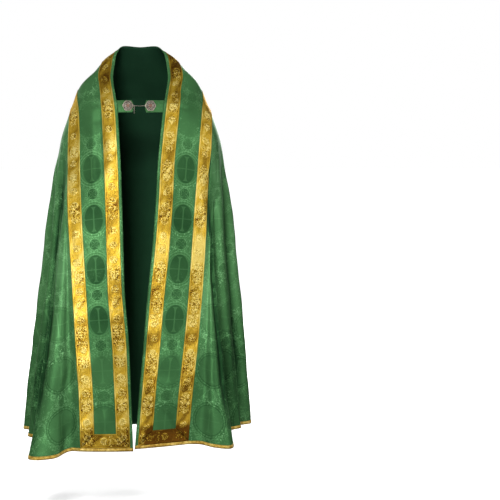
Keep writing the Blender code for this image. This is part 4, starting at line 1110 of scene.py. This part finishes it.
def build_tab(name, side, edge_line, silk):
    """A tab of the cope's own cloth, doubled and stitched, from the straight edge inwards."""
    low, high = node_box(name)
    edge_line = edge_line[edge_line[:, 0] * side > TAB_EDGE_FROM]
    edge_line = edge_line[np.argsort(edge_line[:, 2])]
    shares = np.linspace(0.0, 1.0, TAB_CELLS + 1)
    heights = TAB_TOP + (TAB_FOOT - TAB_TOP) * shares
    root = points_at(heights, edge_line[:, 2], edge_line)
    root[:, 0] -= side * 2 * SEAM_GAP
    from_corner = np.minimum(shares, 1.0 - shares)
    cut = TAB_CUT * np.clip(1.0 - from_corner / TAB_CUT_SHARE, 0.0, 1.0)
    end_x = (low if side > 0 else high)[0] + side * cut
    end = np.column_stack([end_x, root[:, 1] - TAB_TILT, heights])
    grid = (root[:, None] + (end - root)[:, None] * shares[:, None])[:, ::side]
    sheet = Sheet()
    numbers = sheet.add_points(grid)
    sheet.add_grid(numbers)
    sheet.find_normals()
    from_seam = np.minimum(from_corner[:, None], from_corner)
    swell = TAB_SWELL * ease(0.0, TAB_SEAM_SHARE, from_seam) - TAB_SINK
    return lay_trim(name, ("damask", silk), sheet, numbers, grid[..., 0], grid[..., 2], swell,
                    base=-TAB_THICKNESS)


# ---------------------------------------------------------------- materials
def add_node(tree, kind, inputs, **settings):
    """A new shader node, its inputs set or linked by name or number."""
    node = tree.nodes.new("ShaderNode" + kind)
    for key, value in settings.items():
        setattr(node, key, value)
    for key, value in inputs.items():
        plug(node.inputs[key], value)
    return node


def plug(socket, value):
    """Sets a node's input, or links it where the value varies."""
    value = getattr(value, "socket", value)
    if isinstance(value, bpy.types.NodeSocket):
        socket.id_data.links.new(value, socket)
    else:
        socket.default_value = value


class Field:
    """A number that varies over a surface, written as ordinary arithmetic on shader nodes."""

    def __init__(self, socket):
        self.socket = socket

    def calculate(self, operation, *others):
        inputs = dict(enumerate((self, *others)))
        return Field(add_node(self.socket.id_data, "Math", inputs, operation=operation).outputs[0])

    __add__ = partialmethod(calculate, "ADD")
    __sub__ = partialmethod(calculate, "SUBTRACT")
    __mul__ = partialmethod(calculate, "MULTIPLY")
    __truediv__ = partialmethod(calculate, "DIVIDE")
    __pow__ = partialmethod(calculate, "POWER")
    __abs__ = partialmethod(calculate, "ABSOLUTE")
    least = partialmethod(calculate, "MINIMUM")
    most = partialmethod(calculate, "MAXIMUM")
    sin = partialmethod(calculate, "SINE")
    cos = partialmethod(calculate, "COSINE")

    def __rsub__(self, other):
        return self * -1.0 + other

    def wave(self, length):
        return (self * (2 * math.pi / length)).sin()

    def wrapped(self, width):
        return self.calculate("WRAP", width / 2, -width / 2)

    def below(self, edge, soft):
        """1 where this is under the edge, 0 over it, with a soft step."""
        inputs = {"Value": self, "From Min": edge, "From Max": edge + soft, "To Min": 1.0, "To Max": 0.0}
        tree = self.socket.id_data
        return Field(add_node(tree, "MapRange", inputs, interpolation_type="SMOOTHSTEP").outputs[0])

    def near(self, value, half_width, soft):
        return abs(self - value).below(half_width, soft)

    def hypot(self, other):
        return (self * self + other * other).calculate("SQRT")

    def turn_from(self, x):
        return self.calculate("ARCTAN2", x)


class Surface:
    """A material in the making: its tree, its shader and the textures that it reads."""

    def __init__(self, name, **values):
        self.material = bpy.data.materials.new(name)
        self.material.use_nodes = True
        self.tree = self.material.node_tree
        self.shader = self.tree.nodes["Principled BSDF"]
        for key, value in values.items():
            self.shader.inputs[key.replace("_", " ")].default_value = value
        self.place = add_node(self.tree, "TexCoord", {}).outputs["Object"]
        self.flat = add_node(self.tree, "UVMap", {}, uv_map="cloth").outputs["UV"]

    def split(self, vector, kind="XYZ"):
        return [Field(part) for part in add_node(self.tree, "Separate" + kind, {0: vector}).outputs]

    def cloth(self):
        """The cloth's own coordinates, in metres."""
        return self.split(self.flat)[:2]

    def axes(self):
        """The place's own x, y and z, in metres."""
        return self.split(self.place)

    def stored(self, name):
        """A number stored at the mesh's points, 0 where there is none."""
        return Field(add_node(self.tree, "Attribute", {}, attribute_name=name).outputs["Fac"])

    def noise(self, vector, scale, detail=3.0, distortion=0.0):
        inputs = {"Vector": vector, "Scale": scale, "Detail": detail, "Distortion": distortion}
        return Field(add_node(self.tree, "TexNoise", inputs).outputs[0])

    def grains(self, scale):
        """A random number for each small cell of the cloth."""
        cells = add_node(self.tree, "TexVoronoi", {"Vector": self.flat, "Scale": scale})
        return self.split(cells.outputs["Color"], "Color")[0]

    def vector(self, x, y):
        return add_node(self.tree, "CombineXYZ", {0: x, 1: y}).outputs[0]

    def finished(self, shade, stops, relief, distance, strength=1.0, roughness=None):
        """The material, its colour going through evenly spaced stops as shade goes from 0 to 1, and
        its relief from 0 to 1 standing for that many metres."""
        ramp = add_node(self.tree, "ValToRGB", {0: shade})
        stages = ramp.color_ramp.elements
        for i in range(1, len(stops) - 1):
            stages.new(i / (len(stops) - 1))
        for stage, stop in zip(stages, stops):
            stage.color = (*stop, 1.0)
        bump = add_node(self.tree, "Bump", {"Height": relief, "Distance": distance, "Strength": strength})
        plug(self.shader.inputs["Base Color"], ramp.outputs[0])
        plug(self.shader.inputs["Normal"], bump.outputs[0])
        if roughness:
            plug(self.shader.inputs["Roughness"], roughness)
        return self.material


DISC_RADIUS = 0.041
DISC_TALLER = 1.12
FRONT_DISC_NARROWER = 0.20
RING_INSIDE, RING_OUTSIDE = 0.0495, 0.0575
CROSS_REACH = 0.040
LATTICE_REACH = 0.048
LATTICE_PITCH = 0.0150
FIRST_DISC_BELOW, LAST_DISC_ABOVE = -0.21, -0.95    # heights between which the front's discs are plain
SWIRL_SCALE, SWIRL_LINES = 42.0, 46.0


def rosette_figure(x, y, radius):
    """A four-petalled flower in an oval with rays: its lines, and its dark middle."""
    reach = (x * 1.35).hypot(y)
    frame = reach.near(radius, 0.0009, 0.0010)
    inside = reach.below(radius - 0.001, 0.001)
    turn = y.turn_from(x)
    lobes = abs((turn * 2.0).sin()) * radius * 0.8
    petals = (reach - lobes).near(0.0, 0.0012, 0.0010)
    rays = (turn * 18.0).sin().below(-0.2, 0.4) * reach.near(radius + 0.0055, 0.0022, 0.001)
    return frame.most(petals * inside).most(rays * 0.6), inside


def cross_figure(across, up):
    """A cross with flared arms: its upright, and a fainter beam."""
    flare_up = (up / CROSS_REACH) ** 8.0 * 0.0080 + 0.0020
    flare_across = (across / CROSS_REACH) ** 8.0 * 0.0050 + 0.0011
    upright = (across - flare_up).below(0.0, 0.0010) * up.below(CROSS_REACH, 0.0010)
    beam = (up - flare_across).below(0.0, 0.0010) * across.below(CROSS_REACH * 0.9, 0.0010)
    return upright.most(beam * 0.7)


def damask():
    """Satin silk with discs that hold a cross, rings, framed flowers and a small scrolling ground, with
    painted sheen, glints and valley shade in its colour.
    """
    surface = Surface("green_damask", Metallic=0.35, Specular_IOR_Level=0.12,
                      Specular_Tint=(0.20, 0.45, 0.24, 1.0))
    u, v = surface.cloth()
    x, y = u.wrapped(PATTERN_WIDTH), v.wrapped(PATTERN_HEIGHT)
    reach = x.hypot(y)
    front = u.below(PANEL_SHIFT / 2, 0.01)
    disc = (x * (front * FRONT_DISC_NARROWER + 1.0)).hypot(y / DISC_TALLER).below(DISC_RADIUS, 0.003)
    cross = cross_figure(abs(x), abs(y))
    edges = reach.near(RING_INSIDE, 0.0011, 0.0010).most(reach.near(RING_OUTSIDE, 0.0011, 0.0010))
    beads = ((y.turn_from(x) * 28.0).sin().below(-0.2, 0.4)
             * reach.near((RING_INSIDE + RING_OUTSIDE) / 2, 0.0022, 0.001))
    low_x, low_y = x * (front * -0.35 + 1.0), (v - PATTERN_HEIGHT / 2).wrapped(PATTERN_HEIGHT)
    side_x = (u - PATTERN_WIDTH / 2).wrapped(PATTERN_WIDTH)
    (lines, inside), (more_lines, more_inside) = (
        rosette_figure(low_x, low_y, 0.0185), rosette_figure(side_x, y, 0.0180))
    lines, inside = lines.most(more_lines), inside.most(more_inside)
    corner = (abs(side_x) + abs(low_y)).below(LATTICE_REACH, 0.004)
    lattice = abs((side_x + low_y).wave(LATTICE_PITCH) * (side_x - low_y).wave(LATTICE_PITCH))
    lattice = lattice.below(0.20, 0.20) * corner

    swirls = surface.noise(surface.flat, SWIRL_SCALE, 1.0, 1.4)
    leaves = (swirls * SWIRL_LINES).sin().below(-0.35, 0.6) * (1.0 - reach.below(RING_OUTSIDE, 0.001))
    leaves = leaves * (1.0 - inside) * (1.0 - corner)

    # Painted highlight: small bright dots of sheen, stronger in painted lit patches and fainter on the
    # discs.
    lit_patches = 1.0 - surface.noise(surface.place, 16.0, 2.0).below(0.52, 0.16)
    painted_sparkle = 1.0 - surface.grains(260.0).below(0.74, 0.20)
    painted_sparkle = painted_sparkle * (lit_patches * 0.75 + 0.25) * (disc * -0.8 + 1.0)

    _, depth, height = surface.axes()
    shown = front * (height.below(FIRST_DISC_BELOW, 0.02) - 1.0) + 1.0
    low = height.below(LAST_DISC_ABOVE - 0.1, 0.3)
    ahead = depth.below(-0.12, 0.15)
    # Painted reflection over the real woven figure: the discs', rings' and lines' tone, and how busy the
    # figure looks, change with height and between front and back, as satin looks lighter or darker by how
    # the light falls on it.
    disc_tone = front * (low * -0.27 + 0.29) + low * (ahead * -0.10 + 0.12) - 0.03
    edge_tone = front * (low * -0.30 + 0.40) + low * (ahead * -0.42 + 0.30) - 0.10
    # Painted sheen: the skirt's silk is made lighter from the shoulders to about a metre down, the fronts'
    # upper part lighter, and the back a little lighter than the front.
    painted_sheen = height.below(-0.05, 0.10) - height.below(-1.0, 0.30)
    high = 1.0 - height.below(-0.45, 0.25)
    painted_sheen = painted_sheen * (front * -0.27 + 0.23) + front * high * 0.09 + ahead * -0.05 + 0.05

    lines = lines.most(lattice * (low * (ahead * -0.6 + 0.6) + 0.35))
    busy = (ahead * 0.55 + low * 0.5 + 0.35).least(1.0)
    figure = (shown * (cross * (low * -0.12 + 0.24) + edges * edge_tone + beads * busy * 0.16
                       + lines * (low * -0.12 + 0.30) - disc * disc_tone - inside * (low * -0.09 + 0.14))
              + busy * (leaves * 0.32 + painted_sparkle * 0.74 - 0.12) + 0.41)
    # Painted uneven light: soft lighter and darker blotches over the cloth.
    cloud = surface.noise(surface.place, 7.0)
    # Painted shade: the colour is darkened along deep valleys, more on the front than on the back.
    valley = surface.stored("valley")
    shade = figure * 0.72 + cloud * 0.44 + painted_sheen - 0.10 - valley * (ahead * 0.2 + 0.4)
    threads = surface.noise(surface.vector(u * 5.0, v), 300.0, 1.0)
    stops = [(0.010, 0.040, 0.013), (0.058, 0.170, 0.058), (0.155, 0.360, 0.150)]
    return surface.finished(shade, stops, figure * 0.6 + threads * 0.3, 0.00035, 0.7,
                            figure * -0.16 + 0.52)


def lining():
    """Plain dark green satin, with painted shade that darkens it towards the neck."""
    surface = Surface("green_lining", Roughness=0.55, Specular_IOR_Level=0.1,
                      Specular_Tint=(0.4, 1.0, 0.6, 1.0))
    cloud = surface.noise(surface.place, 14.0, 4.0)
    # Painted shade: darker at the top, near the neck, than towards the hem.
    deep = surface.axes()[2].below(-0.9, 0.8)
    grain = surface.noise(surface.place, 900.0, 2.0)
    stops = [(0.004, 0.016, 0.008), (0.020, 0.075, 0.034)]
    return surface.finished(cloud * 0.3 + deep * 0.7, stops, grain, 0.0002, 0.4)


GALLOON_REPEAT = 0.050
SWEEP_START = 0.71           # shifts the silk's long painted gleams, and their ripples, along the bands
BORDER_AT = 0.0192
BAND_SHADE_ABOVE, BAND_SHADE_BELOW = 0.03, -1.185      # heights beyond which painted shade makes the bands browner


def vine(u, v):
    """The galloon's woven vine: its lines, and how far each place is from a flower's middle."""
    x = u - BAND_WIDTH / 2
    y, half_y = v.wrapped(GALLOON_REPEAT), (v - GALLOON_REPEAT / 2).wrapped(GALLOON_REPEAT)
    reach, turn = x.hypot(y), y.turn_from(x)
    flower = (reach - ((turn * 8.0).cos() * 0.0018 + 0.0112)).near(0.0, 0.0014, 0.0008)
    heart = (reach - (turn * 4.0).cos() * 0.0016 - 0.0056).near(0.0, 0.0011, 0.0007)
    eye = reach.below(0.0020, 0.0007)
    curl = (abs(x) - 0.0130).hypot(half_y)
    curls = curl.near(0.0052, 0.0011, 0.0007).most(curl.below(0.0016, 0.0006))
    stem = (abs(x) - abs(half_y) * 0.9).near(0.0, 0.0008, 0.0006) * abs(half_y).below(0.0100, 0.001)
    return flower.most(heart).most(eye).most(curls).most(stem), reach


def painted_band_shade(surface):
    """Painted shade that darkens the bands' gold to brown: more at the hem, at the neck and down the fronts'
    inner side.
    """
    side, depth, z = surface.axes()
    left = 1.0 - side.below(0.0, 0.02)
    ahead = depth.below(0.0, 0.06)
    inner = abs(side).below(0.13, 0.04) * z.near(-0.55, 0.15, 0.20)
    band_shade = z.below(BAND_SHADE_BELOW, 0.03) * (left * 1.6 + 1.7) + left * z.below(-1.15, 0.5)
    band_shade = band_shade + ahead * (inner * 0.8 + 1.0) - 1.0
    return band_shade + (z.below(BAND_SHADE_ABOVE - 0.20, 0.20) * -1.2 + 1.2) * depth.below(-0.06, 0.06)


def galloon():
    """Gold lurex: a flowering vine between plain ribbed borders, with painted gleams, glints and shade in
    its colour.
    """
    surface = Surface("gold_galloon", Metallic=0.72, Specular_IOR_Level=0.25,
                      Specular_Tint=(0.60, 0.42, 0.14, 1.0))
    u, v = surface.cloth()
    motif, reach = vine(u, v)
    across = abs(u - BAND_WIDTH / 2)
    field = across.below(BORDER_AT - 0.001, 0.0008)
    border = 1.0 - field
    groove = across.near(BORDER_AT - 0.0006, 0.0004, 0.0004)
    stitch = across.near(0.0220, 0.0003, 0.0002) * v.wrapped(0.0036).near(0.0, 0.0012, 0.0002)
    rib = surface.noise(surface.vector(u * 0.3, v), 900.0, 1.0)
    # Small cells of thread: in the colour they are painted glints, light and dark; in the relief and
    # roughness they are the threads' real grain.
    grain_and_painted_glint = surface.grains(280.0)
    # Painted gleams: long diagonal lighter and darker streaks in the colour, over matching ripples in the
    # relief.
    sweep = surface.vector((u + v * 0.62 + SWEEP_START) * 19.0, (u - v) * 6.0)
    ripples_and_painted_gleams = ((surface.noise(sweep, 1.0, 2.0, 0.6) - 0.5) * 3.4).least(0.55).most(-0.60)
    # Painted shade, darkening the gold to brown where the bands lie in shade.
    band_shade = painted_band_shade(surface)
    height = surface.axes()[2]
    clusters = surface.noise(surface.vector(u * 5.0, v * 14.0), 1.0, 1.0) + height * 0.10
    spots = (reach + surface.noise(sweep, 2.0, 1.0) * 0.012).below(0.0165, 0.004)
    figured = (clusters.below(0.34, 0.14).most(spots) * 0.84 + 0.16) * field
    tone = (ripples_and_painted_gleams * 0.46 + 0.49 + figured * (motif * 0.40 + (grain_and_painted_glint - 0.58) * 0.95)
            + border * (rib * 0.15 + 0.02) - groove * 0.40 + stitch * 0.25 - band_shade * 0.17)
    relief = motif * field * 0.5 + border * rib * 0.2 + figured * grain_and_painted_glint * 0.8 + stitch * 0.5
    stops = [(0.095, 0.038, 0.004), (0.53, 0.34, 0.030), (0.84, 0.70, 0.22)]
    return surface.finished(tone, stops, relief + ripples_and_painted_gleams * 0.5, 0.0009, roughness=grain_and_painted_glint * 0.16 + 0.36)


PLAIT_PITCH = 0.0052


def braid():
    """The narrow hem braid: plaited gold, browner than the galloon."""
    surface = Surface("gold_braid", Metallic=0.70, Roughness=0.42)
    u, v = surface.cloth()
    plait = (v + abs(u - BRAID_WIDTH / 2) * 1.2).wave(PLAIT_PITCH) * 0.5 + 0.5
    threads = surface.noise(surface.vector(u * 0.3, v), 800.0, 1.0)
    cloud = surface.noise(surface.place, 22.0)
    # Painted glints in the plaited gold's colour.
    grain_and_painted_glint = surface.noise(surface.vector(u * 60.0, v * 90.0), 1.0, 1.0)
    shade = plait * 0.35 + threads * 0.2 + cloud * 0.6 + grain_and_painted_glint * 1.2 - 0.65
    stops = [(0.16, 0.062, 0.006), (0.58, 0.36, 0.050), (0.95, 0.75, 0.24)]
    return surface.finished(shade, stops, plait * 0.8 + threads * 0.2, 0.0006, 0.9)


def bullion():
    """Twisted gold cords, each a little lighter or darker than the next."""
    surface = Surface("gold_bullion", Metallic=0.70, Roughness=0.38)
    side, _, z = surface.axes()
    cords = surface.noise(surface.vector(side * 190.0, z * 9.0), 1.0, 1.0)
    cloud = surface.noise(surface.place, 30.0, 2.0)
    fine = surface.noise(surface.place, 700.0, 2.0)
    shade = (cords - 0.5) * 2.4 + cloud * 0.6 + fine * 0.4
    stops = [(0.13, 0.055, 0.004), (0.62, 0.40, 0.045), (1.0, 0.80, 0.25)]
    return surface.finished(shade, stops, fine, 0.0004, 0.6)


def antique(name, dark, light):
    """Tarnished metal, from the dark colour of its hollows to the light one where it is rubbed."""
    surface = Surface(name, Metallic=1.0)
    tarnish = surface.noise(surface.place, 260.0, 4.0)
    return surface.finished(tarnish * 1.3 - 0.1, [dark, light], tarnish, 0.0002, 0.4,
                            tarnish * 0.3 + 0.22)


# ---------------------------------------------------------------- floor, light and camera
FLOOR_Z = -1.46
FLOOR_REACH = 40.0
CAMERA_PLACE = (0.0, -6.125, -0.13)
CAMERA_YAW = math.radians(3.67)
CAMERA_TILT = math.radians(4.35)
CAMERA_LENS = 122.4
LAMPS_AIM = Vector((0.0, NECK_AXIS[1], -0.6))
# name, place, size, power, whether it lights the cloth, whether it shines in it
LAMPS = [
    ("key", (-0.9, -4.7, 2.1), 1.3, 300.0, True, False),
    ("key_shine", (-0.9, -5.0, 0.6), 1.5, 130.0, False, True),
    ("fill", (3.0, -4.8, 0.4), 3.0, 22.0, True, True),
    ("left_shine", (3.6, -3.5, 0.2), 1.5, 60.0, False, True),
    ("side_left", (4.6, 0.6, 0.7), 2.2, 22.0, True, True),
    ("side_right", (-4.6, 0.0, 0.7), 2.2, 24.0, True, True),
    ("back_key", (1.2, 4.4, 2.1), 1.6, 290.0, True, False),
    ("back_shine", (1.5, 4.8, 0.5), 1.8, 150.0, False, True),
    ("back_fill", (-3.0, 4.6, 0.6), 3.0, 55.0, True, True),
]
WORLD_LIGHT = 0.22           # the pale room's own light, and how bright it looks behind the object
WORLD_SEEN = 1.0
FLOOR_GLOW = (0.30, 1.0)     # near the object, and beyond it
FLOOR_GLOW_REACH = (0.8, 3.0)


def placed(name, data, place, ahead=None):
    """A new object at its place in the scene, turned to look ahead if that is given."""
    made = bpy.data.objects.new(name, data)
    made.location = place
    if ahead:
        made.rotation_mode = "QUATERNION"
        made.rotation_quaternion = ahead.to_track_quat("-Z", "Y")
    bpy.context.scene.collection.objects.link(made)
    return made


def build_stage():
    floor = bpy.data.meshes.new("floor")
    corners = [(-1, -1), (1, -1), (1, 1), (-1, 1)]
    floor.from_pydata([(x * FLOOR_REACH, y * FLOOR_REACH, 0.0) for x, y in corners], [], [(0, 1, 2, 3)])
    surface = Surface("floor", Base_Color=(0.92, 0.92, 0.92, 1.0), Roughness=0.9,
                      Emission_Color=(1.0, 1.0, 1.0, 1.0))
    length = add_node(surface.tree, "VectorMath", {0: surface.place}, operation="LENGTH")
    inputs = dict(zip(("From Min", "From Max", "To Min", "To Max"), FLOOR_GLOW_REACH + FLOOR_GLOW))
    glow = add_node(surface.tree, "MapRange", {"Value": length.outputs["Value"], **inputs})
    plug(surface.shader.inputs["Emission Strength"], glow.outputs[0])
    floor.materials.append(surface.material)
    piece = placed("floor", floor, (0.0, NECK_AXIS[1], FLOOR_Z))
    piece.visible_diffuse = False
    piece.visible_glossy = False


def build_light():
    bpy.context.scene.view_settings.view_transform = "Standard"
    world = bpy.data.worlds.new("studio")
    world.use_nodes = True
    background = world.node_tree.nodes["Background"]
    background.inputs["Color"].default_value = (1.0, 1.0, 1.0, 1.0)
    seen = add_node(world.node_tree, "LightPath", {}).outputs["Is Camera Ray"]
    strength = add_node(world.node_tree, "MapRange",
                        {"Value": seen, "To Min": WORLD_LIGHT, "To Max": WORLD_SEEN})
    plug(background.inputs["Strength"], strength.outputs[0])
    bpy.context.scene.world = world
    for name, place, size, power, lights, shines in LAMPS:
        light = bpy.data.lights.new(name, "AREA")
        light.size, light.energy = size, power
        lamp = placed(name, light, place, LAMPS_AIM - Vector(place))
        lamp.visible_camera = False
        lamp.visible_diffuse, lamp.visible_glossy = lights, shines


def build_camera():
    data = bpy.data.cameras.new("camera")
    data.lens = CAMERA_LENS
    ahead = Vector((math.sin(CAMERA_YAW) * math.cos(CAMERA_TILT),
                    math.cos(CAMERA_YAW) * math.cos(CAMERA_TILT), -math.sin(CAMERA_TILT)))
    bpy.context.scene.camera = placed("camera", data, CAMERA_PLACE, ahead)


# ---------------------------------------------------------------- all together
build_camera()
build_stage()
build_light()

silk, silk_lining, gold, hem_gold, cords = damask(), lining(), galloon(), braid(), bullion()
silver = antique("clasp_silver", (0.16, 0.12, 0.09), (0.78, 0.70, 0.60))
dark_metal = antique("clasp_plate", (0.02, 0.018, 0.015), (0.10, 0.085, 0.07))
rose_metal = antique("clasp_rose", (0.30, 0.13, 0.08), (0.85, 0.52, 0.38))

mantle, mantle_trim, edge_line = build_mantle(silk, silk_lining, gold, hem_gold)
hood, hood_trim = build_hood(silk, silk_lining, gold)
hood_trim += [build_heading(hem_gold), build_fringe(cords)]
for name, side in (("clasp_tab_right", RIGHT), ("clasp_tab_left", LEFT)):
    mantle_trim.append(build_tab(name, side, edge_line, silk))
for name in ("clasp_rosette_right", "clasp_rosette_left"):
    build_rosette(name, [silver, dark_metal, rose_metal])
build_chain(silver)
